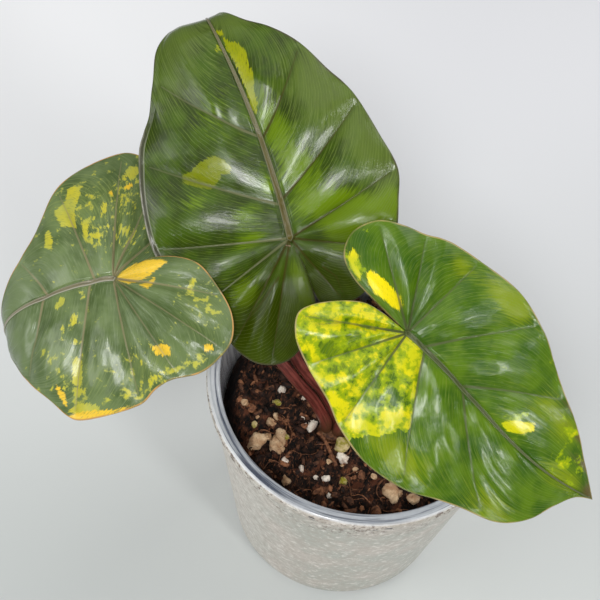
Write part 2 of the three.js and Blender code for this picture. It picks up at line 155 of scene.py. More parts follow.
# Junction, tilt and bend of each blade, then its veins and the outline of each half from tip to notch.
LEAVES = {
    "back": BLADE_DEFAULTS | dict(
        junction=(-26.1, 0.5, 146.6), heading=130, pitch=27, roll=20,
        droop=0.25, lobe_droop=0.15, curl=1.7, curl_from=53, curl_to=71,
        fold=0.03, dome=0.001, bow=-2.2, bow_skew=0.85,
        feet=[1, 0.82, 0.65, 0.48, 0.35, 0.27, 0.2, 0.13, 0.06, 0],
        quilt=1.9, crest=1.5, fade=2.4, lobe_relief=0.65, rib_width=0.85, pucker=(0.02, 0.02),
        rim_lift=(0.25, 0.06),
        mounds=[(36, 6.5, 8, 3.2, 1.2), (38, -8.5, 5, 4, 1.1), (45.5, 18.5, 4.5, 3.5, 0.8)],
        veins=[[3.9, 7.2, 9, 11, 12.8, 14.5], [4, 7, 9, 11.6, 14]],
        branches=[
            [(-8, 6), (-11.5, 11), (-16.7, 19.8)],
            [(-9.5, -5), (-13, -7.2), (-19, -7.3)],
        ],
        halves=[
            [(72, 1.5), (67, 6.5), (62.5, 11), (56.5, 15), (48.5, 18.2), (42, 21.5), (38, 24.7),
             (33, 27.6), (21, 31.3), (9.5, 32.8), (1, 30.6), (-8, 26.3), (-14.5, 24.3), (-21, 22.3),
             (-26, 18.5), (-28, 12.5), (-25.5, 6.5), (-19, 0.6), (-11, -0.9), (-3, -0.4)],
            [(72, 1.5), (62.6, -4), (56.6, -8.3), (51.5, -14), (44.5, -19.5), (36, -23.5), (31, -26),
             (25.5, -27.8), (16, -29.5), (6.5, -30.7), (-1, -28), (-7.5, -25), (-13.5, -20),
             (-18.3, -13.5), (-20, -7), (-18.2, -1.6), (-14, -0.5), (-10, 0), (-6.5, 0.2), (-3, 0.2)],
        ],
    ),
    "right": BLADE_DEFAULTS | dict(
        junction=(7.3, -18.1, 147), heading=-18, pitch=-23, roll=-23,
        droop=0.2, lobe_droop=0.2, curl=0.1, curl_from=60, curl_to=66,
        fold=0.06, dome=0.003, bow=-3.4, bow_skew=1.6,
        feet=[1, 0.8, 0.62, 0.46, 0.33, 0.25, 0.17, 0.09, 0.03, 0],
        lap=0, quilt=1.5, crest=1.15, rib_width=0.65, pucker=(0.055, 0.12),
        veins=[[4.6, 7.2, 9, 12, 14], [4.4, 7, 9, 12, 14]],
        branches=[
            [(-6.6, -4.5), (-13, -7.5), (-18.1, -12.5)],
        ],
        halves=[
            [(65, -0.5), (60.5, 2.2), (56.5, 5), (52, 8.2), (46, 11.3), (39.5, 14.6), (33, 18.4),
             (26.5, 21.8), (15, 25.2), (3, 24.6), (-4, 23.6), (-8, 22.4), (-11.5, 20.8), (-17, 19),
             (-22.5, 15.8), (-25.3, 10), (-23.5, 4.5), (-18, 1.6), (-10, 0.6), (-3, 0.1)],
            [(65, -0.5), (60.5, -3), (57.5, -8), (54, -14.5), (47.5, -20.3), (38, -23.3), (31, -25.8),
             (23, -28.8), (12, -29.7), (2, -27.3), (-4, -24.5), (-9, -22.7), (-13.5, -21),
             (-19.5, -18), (-22.9, -13.5), (-21.8, -9.5), (-18, -5.2), (-13, -1.4), (-8, -0.2), (-3, 0)],
        ],
    ),
    "left": BLADE_DEFAULTS | dict(
        junction=(-66.4, -16.9, 136.8), heading=-153, pitch=-20, roll=13,
        droop=0.4, lobe_droop=0.25, curl=1.25, curl_from=19, curl_to=48,
        fold=0.06, dome=0.0065, bow=-1.8, bow_skew=0.75,
        feet=[1, 0.84, 0.68, 0.53, 0.38, 0.29, 0.2, 0.1, 0.04, 0],
        sag=(0, 2.6), quilt=1.4, crest=1.1, rib_width=0.68, faint=[[11.3, 13.5], []], pucker=(0.09, 0.08),
        veins=[[3.8, 6.7, 9, 11.3, 13.5, 15.6], [4, 7, 9.7, 12, 14]],
        halves=[
            [(47, 1), (42, 4.5), (38, 8), (34.5, 12), (30, 17.5), (26.5, 22.4), (23.5, 27.3),
             (19.5, 30), (11.5, 31.2), (3, 31.2), (-2, 29.3), (-7, 28.4), (-13.5, 28.8), (-19, 27.2),
             (-24, 23.8), (-25.8, 17.5), (-24.2, 10), (-20.5, 2.8), (-12, -1.2), (-3, -0.55)],
            [(47, 1), (42, -2), (36, -5), (30, -8.4), (23.5, -13.4), (18.5, -18.2), (14.5, -23.2),
             (9.5, -29.2), (3, -32.6), (-5, -34.2), (-11, -33.8), (-15.5, -30), (-17.3, -23.5),
             (-17.8, -16.5), (-17.5, -11), (-16.2, -6.5), (-14, -2.8), (-11, -0.7), (-7, 0), (-3, 0.2)],
        ],
    ),
}

# Solid patches, as outlines in leaf coordinates: yellow ones and golden ones.
PATCHES = {
    "back": dict(
        yellow=[
            [(53.6, -2.2), (51.4, -3.6), (50.6, -5.2), (47, -6.6), (44.6, -5.8), (41.3, -6.2), (37.7, -4.8),
             (34.6, -4.6), (31.6, -3.2), (34.6, -2.6), (38, -3), (42.5, -3), (46, -2.8), (51, -2)],
            [(56.4, -0.9), (55.4, -2.4), (54.4, -2.4), (54.6, -1.2)],
            [(52, 0.4), (52.4, -0.4), (50.5, -0.6), (50.5, 0.5)],
        ],
        gold=[
            [(24.3, 19.6), (24.2, 17.2), (25, 14.8), (25.6, 12.3), (25.4, 9.8), (23.7, 8), (21.6, 7),
             (20.2, 8), (20.4, 10.3), (19.2, 12), (18.4, 14), (20, 16.7), (22, 19.5)],
        ],
    ),
    "right": dict(
        yellow=[
            [(-23, 7), (-20.8, 6.6), (-20.4, 4.4), (-17.6, 3.4), (-16.8, 2), (-19.8, 2.9), (-22.5, 4.5)],
            [(32, -1.3), (33.7, 0.7), (38.6, 3.8), (39.7, 2), (37.6, -0.3), (34.4, -2.2)],
        ],
        gold=[
            [(-16.8, 4.3), (-16.4, 5.4), (-14.8, 5.8), (-12.4, 6), (-9.7, 5.8), (-7, 5.4), (-5.3, 4.2),
             (-5, 2.8), (-6.9, 2.3), (-9.9, 2.2), (-12.3, 2), (-14.6, 2.6)],
        ],
    ),
    "left": dict(
        yellow=[
            [(11, -23), (7.8, -24.6), (6.5, -27.6), (4.5, -28), (2.3, -27.3), (3.6, -24), (5.4, -21),
             (6, -16.4), (9.6, -18)],
            [(-2, -20), (-3.3, -20), (-2.8, -18), (-1.2, -16.2)],
            [(4, -17), (1.2, -17.3), (2.9, -14.2), (3.7, -11), (4.6, -12)],
            [(14.5, -17.4), (13, -18.5), (12.5, -15), (13.3, -12.5), (15, -13.6)],
            [(-9.2, -28.2), (-11, -29), (-13, -28.3), (-12.3, -26.3), (-10.5, -24.6), (-9.3, -26.5)],
            [(16.5, 2), (14.2, 0), (12.8, 0.8), (14.3, 2.3), (16, 2.8)],
            [(12.5, 5.7), (11, 5.5), (12, 8), (13.3, 8)],
            [(16, 16.5), (14.6, 15.8), (13.6, 17), (15, 21.2), (16.5, 22.8), (18, 21.5)],
            [(22.6, 27.4), (19.2, 26), (16, 27), (13, 28.8), (13.5, 30), (19.5, 28.6)],
        ],
        gold=[
            [(22.6, 28), (19.4, 28.2), (15.8, 29), (12.8, 30), (9.4, 30.6), (4.4, 31.2), (6.6, 31.4),
             (12.6, 31.5), (20, 31), (23, 28.7)],
            [(-0.4, 0.4), (-3, -0.9), (-6.6, -2), (-13, 0), (-14.3, 1.3), (-12, 2.2), (-9.2, 3.2),
             (-3.6, 3)],
            [(-6.2, 4.3), (-10.4, 4), (-9.2, 5.4), (-8, 6.2)],
            [(-4.5, 19.7), (-7.6, 20), (-9, 21), (-8.5, 23.2), (-5.5, 22.2)],
            [(-17, 23), (-19, 23.5), (-19, 24.8), (-17, 24.8)],
            [(22, 20), (21, 22.8), (21.8, 26), (22.3, 25.4), (22.8, 22.3)],
            [(-4, -22.6), (-5, -23.5), (-5, -21.5)],
            [(-8, -23), (-10, -24), (-11, -23), (-9, -22.2)],
        ],
    ),
}

# Soft places of other tints, each (s, t, reach along s, reach across, strength). Glow is a brighter
# yellow-green, sheen_and_brown a painted grey sheen on the back and left blades and a real brown on the
# right one, and marble the chance of yellow flecks, on top of a starting value.
TINTS = {
    "back": dict(
        glow=[(2, -14, 5, 6, 1.2), (-2.5, -22, 5, 5, 1.1), (-5, -13, 4, 5, 1), (14, 0.5, 2, 1.6, 0.9),
              (3, 9.5, 2, 4, 0.9), (-9, 15, 4, 4, 1), (-12, 1.5, 6, 1.8, 1.3), (16.5, 18.5, 2.6, 2.8, 0.6),
              (22, -7, 10, 4, 0.5), (9, 8, 3, 5, 0.5), (6, -8, 3, 5, 0.8), (0, -27, 5, 3, 0.7),
              (30, -6, 9, 4, 0.5), (14, -9, 5, 6, 0.6), (36, 7, 6, 5, 0.45)],
        sheen_and_brown=[(33, -20, 14, 9, 1), (12, -27, 14, 6, 0.9), (60, 8, 10, 9, 0.9), (60, -7, 9, 7, 1),
              (45, 14, 8, 8, 0.5)],
        marble=[], start=-1.5,
    ),
    "right": dict(
        glow=[(0, 20.5, 4, 3, 0.7), (10, 22, 5, 3, 0.6), (16.5, 22, 5, 3.4, 1.1), (17, -24, 8, 4, 1),
              (44, -19, 8, 4, 0.7), (46, 8, 5, 3, 0.9), (51, -2, 4, 3, 0.6), (57, -1, 4, 3, 0.7),
              (38, 9, 4, 4, 0.6), (-8, -14, 14, 11, 0.6), (34, 0, 5, 3, 0.4)],
        sheen_and_brown=[(63.5, 0.5, 3, 2.4, 1.2), (52, 8.6, 6, 1, 0.9), (58, 4.6, 5, 1.4, 0.9),
              (45, 12.4, 5, 0.9, 0.7)],
        marble=[(-17, -9, 5, 3.5, 0.25), (-9, -3.5, 5, 2.5, 0.3), (-1, -3.6, 3, 3, 0.3),
                (4.5, -3.5, 2.5, 3, 0.35), (-18, -15, 3, 3, 0.2), (-11, -21, 3, 3, 0.2),
                (-4, -22, 4.5, 3.5, 0.25), (2, -24.5, 4.5, 3, 0.35), (8, -21.5, 3.5, 4, 0.35),
                (12, -17, 3.5, 3, 0.4), (-8, -8, 2.5, 2.2, -0.4), (-11.5, -15.5, 4, 3, -0.4),
                (1.5, -13, 3, 3, -0.35), (7, -14.5, 2, 2.4, -0.5), (5, -19, 1.8, 2, -0.4),
                (47, 8.5, 4, 2.5, 0.9), (53, 2, 6, 4, 0.8), (36, 1, 5, 3, 0.7), (-20, 4, 4, 2.4, 0.9)],
        start=-0.5,
    ),
    "left": dict(
        glow=[(6, -23, 8, 9, 0.5), (-6, -19, 7, 10, 0.5), (16, 20, 7, 8, 0.4), (-19, 14, 5, 7, 0.6),
              (-2, 24, 10, 5, 0.5)],
        sheen_and_brown=[(28, 8, 8, 16, 0.8), (22, -8, 12, 6, 0.7), (-4, 10, 9, 9, 0.5)],
        marble=[(22, 14, 3, 5, 0.4), (15, 10, 2.5, 3, 0.3), (9, 1, 2, 2, 0.4), (4, 23, 4, 3, 0.3),
                (-18, 10, 5, 4, 0.4), (-21, 16, 2.5, 3, 0.5), (1, -12, 3, 3, 0.6), (-6, -10, 2.5, 2.5, 0.6),
                (-13, 26.5, 6, 1.3, 0.7), (2, 28, 8, 2, 0.5), (-8, -20, 5, 6, 0.4), (4, -22, 6, 8, 0.3),
                (-2, 20, 4, 3, 0.3), (18, 24, 3, 3, 0.5), (16, 19, 3, 5, 0.3), (-11, -27, 3, 3, 0.5),
                (-6, 9, 8, 7, -0.5), (30, 4, 12, 8, -0.5)],
        start=-0.18,
    ),
}

# Line that ends the marbled sector of the right blade, as s at t = 0 and s per t.
MARBLE_END = (29.5, 0.85)


def smooth(x):
    """0 below 0, 1 above 1, smooth between."""
    c = np.clip(x, 0, 1)
    return c * c * (3 - 2 * c)


def hill(x):
    """1 at 0, falling to nothing about 2 to either side."""
    return np.exp(-(x**2))


def rgb(red, green, blue):
    """Linear colour of an sRGB colour given in 0 to 255."""
    linear = []
    for value in (red, green, blue):
        v = value / 255
        linear.append(v / 12.92 if v <= 0.04045 else ((v + 0.055) / 1.055) ** 2.4)
    return (*linear, 1.0)


# Meshes
def make_piece(name, points, faces, material, nodes=(), attributes=None):
    """Mesh object from points in millimetres; attributes are per point, single numbers or triples."""
    mesh = bpy.data.meshes.new(name)
    mesh.from_pydata((points.reshape(-1, 3) * MM).tolist(), [], faces.tolist())
    for key, values in (attributes or {}).items():
        values = np.asarray(values, np.float32)
        kind, field = ("FLOAT", "value") if values.ndim == 1 else ("FLOAT_VECTOR", "vector")
        mesh.attributes.new(key, kind, "POINT").data.foreach_set(field, values.ravel())
    mesh.materials.append(material)
    mesh.shade_smooth()
    piece = bpy.data.objects.new(name, mesh)
    bpy.context.scene.collection.objects.link(piece)
    if nodes:
        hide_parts(*nodes)
    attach(piece, "root")
    return piece


def weld(piece):
    """Joins points that coincide, such as those of two halves along the midrib."""
    work = bmesh.new()
    work.from_mesh(piece.data)
    bmesh.ops.remove_doubles(work, verts=work.verts, dist=WELD_REACH * MM)
    bmesh.ops.dissolve_degenerate(work, edges=work.edges, dist=WELD_REACH * MM / 10)
    work.to_mesh(piece.data)
    work.free()


def grid_faces(rows, columns, wrap=False, flip=False):
    """Quads of a grid of points stored row by row; wrap joins the last row to the first."""
    i = np.arange(rows if wrap else rows - 1)[:, None]
    j = np.arange(columns - 1)[None, :]
    a = i * columns + j
    b = ((i + 1) % rows) * columns + j
    quads = np.stack([a, b, b + 1, a + 1], -1).reshape(-1, 4)
    return quads[:, ::-1] if flip else quads


def running(steps):
    """Running sum that starts at 0."""
    return np.concatenate([[0], np.cumsum(steps)])


def angles_round(sides):
    """Equal angles round a circle, without the last that would repeat the first."""
    return np.linspace(0, 2 * math.pi, sides, endpoint=False)


# Blade surface
def blade_axes(leaf):
    """Directions along the midrib, across it to the left, and up from the blade, at the junction."""
    heading, pitch, roll = np.radians([leaf["heading"], leaf["pitch"], leaf["roll"]])
    flat = math.cos(pitch)
    along = np.array([flat * math.cos(heading), flat * math.sin(heading), math.sin(pitch)])
    level = np.array([0.0, 0.0, 1.0]) - along * along[2]
    level /= np.linalg.norm(level)
    side = np.cross(level, along)
    up = level * math.cos(roll) + side * math.sin(roll)
    return along, np.cross(up, along), up


def bend_at(leaf, s):
    """How far the blade has turned downward at s, in radians."""
    base = np.where(s >= 0, leaf["droop"] * s / 60, leaf["lobe_droop"] * s / 30)
    return base + leaf["curl"] * smooth((s - leaf["curl_from"]) / (leaf["curl_to"] - leaf["curl_from"]))


def place(leaf, s, t, height):
    """World points of leaf coordinates, on the bent midrib line."""
    along, across, up = blade_axes(leaf)
    bend = bend_at(leaf, STATIONS)
    zero = np.argmin(abs(STATIONS))

    def travelled(slope):
        run = running((slope[1:] + slope[:-1]) / 2 * (STATIONS[1] - STATIONS[0]))
        return np.interp(s, STATIONS, run - run[zero])[..., None]

    b = bend_at(leaf, s)[..., None]
    normal = np.cos(b) * up + np.sin(b) * along
    midrib = np.array(leaf["junction"]) + travelled(np.cos(bend)) * along - travelled(np.sin(bend)) * up
    return midrib + t[..., None] * across + height[..., None] * normal


def catmull(points, at):
    """Smooth curve through points, at places counted in points."""
    points = np.asarray(points, float)
    last = len(points) - 1
    i = np.minimum(last - 1, np.floor(at).astype(int))
    f = (at - i)[..., None]
    a, b, c, d = (points[np.clip(i + k, 0, last)] for k in (-1, 0, 1, 2))
    return 0.5 * (2 * b + (c - a) * f + (2 * a - 5 * b + 4 * c - d) * f**2 + (3 * b - a - 3 * c + d) * f**3)


def midrib_at(leaf, s):
    """Where the bowed midrib runs: its t at s."""
    tip_s, tip_t = leaf["halves"][0][0]
    f = np.clip(s / tip_s, 0, 1)
    return leaf["bow"] * np.sin(np.pi * f ** leaf["bow_skew"]) + tip_t * f**4


def vein_foot(leaf, u):
    """Place on the midrib from which the vein line to margin point u starts."""
    tip_s = leaf["halves"][0][0][0]
    foot_s = tip_s * np.interp(u, np.arange(JUNCTION_POINT + 1), leaf["feet"])
    return foot_s, midrib_at(leaf, foot_s)


def vein_line(leaf, half, u, rho):
    """Leaf coordinates on the line to margin point u, from the midrib (rho 0) out (rho 1), and its length."""
    foot_s, foot_t = vein_foot(leaf, u)
    end = catmull(leaf["halves"][half], u)
    reach = np.hypot(end[..., 0] - foot_s, end[..., 1] - foot_t)
    lean = 0.2 * reach * smooth(1.2 - u / JUNCTION_POINT) * rho * (1 - rho)
    return foot_s + (end[..., 0] - foot_s) * rho - lean, foot_t + (end[..., 1] - foot_t) * rho, reach


def relief_share(leaf, u):
    """Share of the relief that is left, less than 1 only on the lobes behind the junction."""
    return 1 - (1 - leaf["lobe_relief"]) * smooth((u - 10.5) / 2.5)


def relief_at(leaf, half, u, rho, s, t, reach):
    """Height over the bent plane: folded section, quilting between veins, waves and overlapping lobes."""
    d = t - midrib_at(leaf, s)
    section = leaf["fold"] * (np.sqrt(d * d + 4) - 2) - leaf["dome"] * d * d
    stops = np.array([0, *leaf["veins"][half], len(leaf["halves"][half]) - 1], float)
    k = np.clip(np.searchsorted(stops, u), 1, len(stops) - 1)
    between = (u - stops[k - 1]) / (stops[k] - stops[k - 1])
    size = np.minimum(1, reach / 24)
    r = np.clip(rho, 0, 1)
    bulge = r ** leaf["crest"]
    swell = leaf["quilt"] * smooth(u / leaf["fade"]) * relief_share(leaf, u)
    quilt = swell * size * np.sin(np.pi * between) * (4 * bulge * (1 - bulge)) ** 0.8
    wave = WAVE_HEIGHT * size * r**3 * np.sin(1.9 * u + half)
    sign = 1 if half == 0 else -1
    lap = sign * leaf["lap"] * smooth((-s - 3) / 7) * smooth(1.4 - abs(t) / 12)
    return section + quilt + wave + lap - leaf["sag"][half] * smooth(-s / 15)


def line_field(s, t, line):
    """Distance from each place to a polyline and how far along it the nearest point is (0 to 1)."""
    line = np.asarray(line, float)
    spans = np.hypot(*np.diff(line, axis=0).T)
    starts = running(spans)
    best = np.full(s.shape, 1e9)
    where = np.zeros(s.shape)
    for i, span in enumerate(spans):
        step = (line[i + 1] - line[i]) / max(span, 1e-9)
        run = np.clip((s - line[i, 0]) * step[0] + (t - line[i, 1]) * step[1], 0, span)
        gap = np.hypot(s - line[i, 0] - run * step[0], t - line[i, 1] - run * step[1])
        closer = gap < best
        best = np.where(closer, gap, best)
        where = np.where(closer, (starts[i] + run) / starts[-1], where)
    return best, where


def polygon_field(s, t, corners):
    """Signed distance to a closed outline, positive inside."""
    ring = np.asarray(corners + corners[:1], float)
    gap, _ = line_field(s, t, ring)
    inside = np.zeros(s.shape, bool)
    for (s0, t0), (s1, t1) in zip(ring[:-1], ring[1:]):
        crosses = (t0 > t) != (t1 > t)
        cut = s0 + (t - t0) * (s1 - s0) / (t1 - t0 + 1e-12)
        inside ^= crosses & (s < cut)
    return np.where(inside, gap, -gap)


def side_veins(leaf, half):
    """Centre lines of the main side veins of one half, from the midrib or junction outward."""
    lines = []
    for stop in leaf["veins"][half]:
        rho = np.linspace(0, 0.93, 14)
        s, t, _ = vein_line(leaf, half, np.full(rho.shape, float(stop)), rho)
        lines.append(np.stack([s, t], -1))
    return lines


def soft_field(s, t, spots, start=0.0):
    """Sum of soft round hills over the blade."""
    total = np.full(s.shape, float(start))
    for s0, t0, along, across, strength in spots:
        total += strength * np.exp(-(((s - s0) / along) ** 2) - ((t - t0) / across) ** 2)
    return total


def ripples(x, y, seed, shortest, longest):
    """Random smooth waves of about unit height, from a seeded set of directions and lengths."""
    random = np.random.default_rng(seed)
    total = 0
    for _ in range(16):
        length = shortest + (longest - shortest) * random.random()
        angle = random.random() * 2 * math.pi
        phase = random.random() * 2 * math.pi
        total = total + np.sin(2 * math.pi * (x * math.cos(angle) + y * math.sin(angle)) / length + phase)
    return total / math.sqrt(8)


def row_stations(leaf, half):
    """Places along the margin that get a row of points, closer together beside each side vein."""
    count = len(leaf["halves"][half]) - 1
    veins = np.array([stop + offset for stop in leaf["veins"][half] for offset in VEIN_ROWS])
    even = np.linspace(0, count, count * ROWS_PER_POINT + 1)
    clear = np.abs(even[:, None] - veins).min(1) > 0.012
    return np.sort(np.concatenate([even[clear], veins]))


def blade_half(leaf, name, half):
    """Points, attributes and quads of one half: upper face, rounded edge and lower face in one grid."""
    us = row_stations(leaf, half)
    top = np.linspace(0, 1, TOP_RINGS) ** RING_CROWDING
    low = np.linspace(1, 0, LOWER_RINGS) ** RING_CROWDING
    rho = np.concatenate([top, np.ones(EDGE_STEPS), low])
    turn = np.concatenate([
        np.zeros(TOP_RINGS),
        np.linspace(0, math.pi, EDGE_STEPS + 2)[1:-1],
        np.full(LOWER_RINGS, math.pi),
    ])
    u, r = np.meshgrid(us, rho, indexing="ij")
    turn = np.broadcast_to(turn, u.shape)
    s, t, reach = vein_line(leaf, half, u, r)
    out = r * reach
    margin = catmull(leaf["halves"][half], us)
    arc = running(np.hypot(*np.diff(margin, axis=0).T))[:, None]
    strand = arc + STRAND_SWING * r**3.5

    outline = catmull(leaf["halves"][half], np.linspace(0, us[-1], int(us[-1]) * 4 + 1))
    edge, _ = line_field(s, t, outline)
    rib_gap = np.abs(t - midrib_at(leaf, s)) + np.where(s < 0, -s, 0)
    rib_share = np.clip(s / leaf["halves"][0][0][0], 0, 1)
    rib_ratio = rib_gap / (leaf["rib_width"] * (1 - 0.74 * rib_share))

    vein_gap = np.full(u.shape, 9.0)
    vein_run = np.ones(u.shape)
    branches = [b for b in leaf["branches"] if (b[0][1] > 0) == (half == 0)]
    starts = [0.6 if stop in leaf["faint"][half] else 0.0 for stop in leaf["veins"][half]]
    lines = list(zip(side_veins(leaf, half), starts)) + [(line, 0.5) for line in branches]
    for line, begin in lines:
        gap, along = line_field(s, t, line)
        nearer = gap < vein_gap
        vein_gap = np.where(nearer, gap, vein_gap)
        vein_run = np.where(nearer, begin + along * (1 - begin), vein_run)

    # Upper face: side veins lie in valleys, the midrib stands up between two flutes.
    valley = -VALLEY_DEPTH * hill(vein_gap / 2.0) * (1 - 0.45 * vein_run) * relief_share(leaf, u)
    cord = CORD_HEIGHT * hill(vein_gap / (0.36 - 0.16 * vein_run)) * (1 - 0.5 * vein_run)
    rib = (RIB_HEIGHT * hill(rib_ratio**3) - RIB_GROOVE * hill(rib_ratio / 0.4)) * (1 - 0.55 * rib_share)
    flutes = -FLUTE_DEPTH * hill((rib_ratio - 1.35) / 0.4) * (1 - 0.6 * rib_share)
    calm = smooth(out / 7) * smooth(edge / 4)
    pucker = leaf["pucker"][half] * calm * ripples(arc + 4 * r**3, out * 0.55, 31 + half, 3.8, 9)
    lift = leaf["rim_lift"][half] * smooth((s + 6) / 10)
    rim = lift * (hill(edge / 0.5) - 0.6 * hill((edge - 1.1) / 0.4))
    base = relief_at(leaf, half, u, r, s, t, reach) + pucker + soft_field(s, t, leaf["mounds"])
    upper = base + valley + cord + rib + flutes + rim

    closing = np.clip((us[-1] - u) / 0.3, 0.04, 1)
    under_rib = UNDER_RIB * hill(rib_ratio / 1.1) * (1 - 0.7 * rib_share)
    under_cord = UNDER_CORD * hill(vein_gap / 0.45) * (1 - 0.6 * vein_run)
    lower = base + np.minimum(valley, 0) * 0.5 - (BLADE_THICKNESS + under_rib + under_cord) * closing
    share = (1 + np.cos(turn)) / 2
    height = upper * share + lower * (1 - share)

    # The edge bulges outward a little between the faces.
    foot_s, foot_t = vein_foot(leaf, u)
    bulge = EDGE_BULGE * np.sin(turn) / np.maximum(np.hypot(s - foot_s, t - foot_t), 1e-6)
    s_out = s + bulge * (s - foot_s)
    t_out = t + bulge * (t - foot_t)

    patch, gold = np.full((2, *u.shape), -9.0)
    for corners in PATCHES[name]["yellow"]:
        patch = np.maximum(patch, polygon_field(s, t, corners))
    for corners in PATCHES[name]["gold"]:
        gold = np.maximum(gold, polygon_field(s, t, corners))
    tints = TINTS[name]
    glow = soft_field(s, t, tints["glow"])
    sheen_and_brown = soft_field(s, t, tints["sheen_and_brown"])
    marble = soft_field(s, t, tints["marble"], tints["start"])
    if name == "right" and half == 1:
        # The marbled sector ends at the vein beside it, and short of the margin.
        past_end = s - MARBLE_END[0] - MARBLE_END[1] * t + 0.8 * ripples(s, t, 3, 1.5, 6)
        sector = (u >= 7) & ((past_end < 0) | (t > -12))
        marble = np.where(sector, marble + 0.95, np.where(s < 30, -1.5, marble))
    triples = dict(
        leaf_place=(s, t, u + HALF_MARK * half),
        leaf_flow=(strand + STRAND_OFFSET * half, out, gold),
        leaf_lines=(vein_gap, vein_run, rib_ratio),
        leaf_tints=(glow, sheen_and_brown, marble),
        leaf_marks=(patch, edge, 1 - share),
    )
    attributes = {key: np.stack(values, -1).reshape(-1, 3) for key, values in triples.items()}
    return place(leaf, s_out, t_out, height).reshape(-1, 3), attributes, grid_faces(*u.shape, flip=half == 0)


def blade_piece(name, material):
    """Both halves of a blade as one mesh, joined along the midrib."""
    left, left_marks, left_faces = blade_half(LEAVES[name], name, 0)
    right, right_marks, right_faces = blade_half(LEAVES[name], name, 1)
    points = np.concatenate([left, right])
    faces = np.concatenate([left_faces, right_faces + len(left)])
    marks = {key: np.concatenate([values, right_marks[key]]) for key, values in left_marks.items()}
    weld(make_piece(f"leaf_{name}", points, faces, material, (f"blade_{name}",), marks))


# Materials
class Shader:
    """One material and short ways to add nodes to it."""

    def __init__(self, name, **settings):
        self.material = bpy.data.materials.new(name)
        self.material.use_nodes = True
        self.tree = self.material.node_tree
        self.tree.nodes.clear()
        output = self.node("OutputMaterial")
        self.surface = self.node("BsdfPrincipled")
        self.tree.links.new(self.surface.outputs[0], output.inputs[0])
        for key, value in settings.items():
            self.set(key.replace("_", " ").title().replace("Ior", "IOR"), value)

    def node(self, kind, *values, operation=None):
        """New node, its first inputs set to the values given."""
        node = self.tree.nodes.new("ShaderNode" + kind)
        if operation:
            node.operation = operation
        for socket, value in zip(node.inputs, values):
            self.put(socket, value)
        return node

    def put(self, socket, value):
        if isinstance(value, bpy.types.NodeSocket):
            self.tree.links.new(value, socket)
        else:
            socket.default_value = value

    def set(self, socket, value):
        self.put(self.surface.inputs[socket], value)

    def done(self, colour, roughness, relief, strength, depth_mm):
        """Sets what every material has, with a bump of the given depth, and gives back the material."""
        self.set("Base Color", colour)
        self.set("Roughness", roughness)
        bump = self.node("Bump", strength, depth_mm * MM)
        self.put(bump.inputs["Height"], relief)
        self.set("Normal", bump.outputs[0])
        return self.material

    def attribute(self, name, output="Fac"):
        node = self.node("Attribute")
        node.attribute_name = name
        return node.outputs[output]

    def place(self):
        return self.node("TexCoord").outputs["Object"]

    def parts(self, vector):
        return list(self.node("SeparateXYZ", vector).outputs)

    def join(self, x, y, z=0.0):
        return self.node("CombineXYZ", x, y, z).outputs[0]

    def math(self, operation, *values):
        return self.node("Math", *values, operation=operation).outputs[0]

    def plus(self, a, b):
        return self.math("ADD", a, b)

    def times(self, a, b):
        return self.math("MULTIPLY", a, b)

    def linear(self, value, slope, offset):
        return self.math("MULTIPLY_ADD", value, slope, offset)

    def scaled(self, vector, factors):
        return self.node("VectorMath", vector, factors, operation="MULTIPLY").outputs[0]

    def step(self, value, low, high):
        """0 below low, 1 above high, smooth between; low above high turns it round."""
        ends = (0.0, 1.0) if low < high else (1.0, 0.0)
        node = self.node("MapRange", value, min(low, high), max(low, high), *ends)
        node.interpolation_type = "SMOOTHSTEP"
        return node.outputs[0]

    def mix(self, base, other, share, strength=None):
        """Lays another colour over the base one by a share, times a strength where one is given.

        Plain colours are sRGB values from 0 to 255.
        """
        node = self.node("Mix", share if strength is None else self.times(share, strength))
        node.data_type = "RGBA"
        for socket, colour in zip(node.inputs[6:8], (base, other)):
            self.put(socket, rgb(*colour) if isinstance(colour, tuple) else colour)
        return node.outputs[2]

    def noise(self, vector, scale, detail=3.0, roughness=0.55, distortion=0.0):
        """Noise around 0.5; a scale of three numbers stretches it along the axes."""
        if isinstance(scale, tuple):
            vector, scale = self.scaled(vector, scale), 1.0
        node = self.node("TexNoise", vector)
        node.inputs["Scale"].default_value = scale
        node.inputs["Detail"].default_value = detail
        node.inputs["Roughness"].default_value = roughness
        node.inputs["Distortion"].default_value = distortion
        return node.outputs["Fac"]


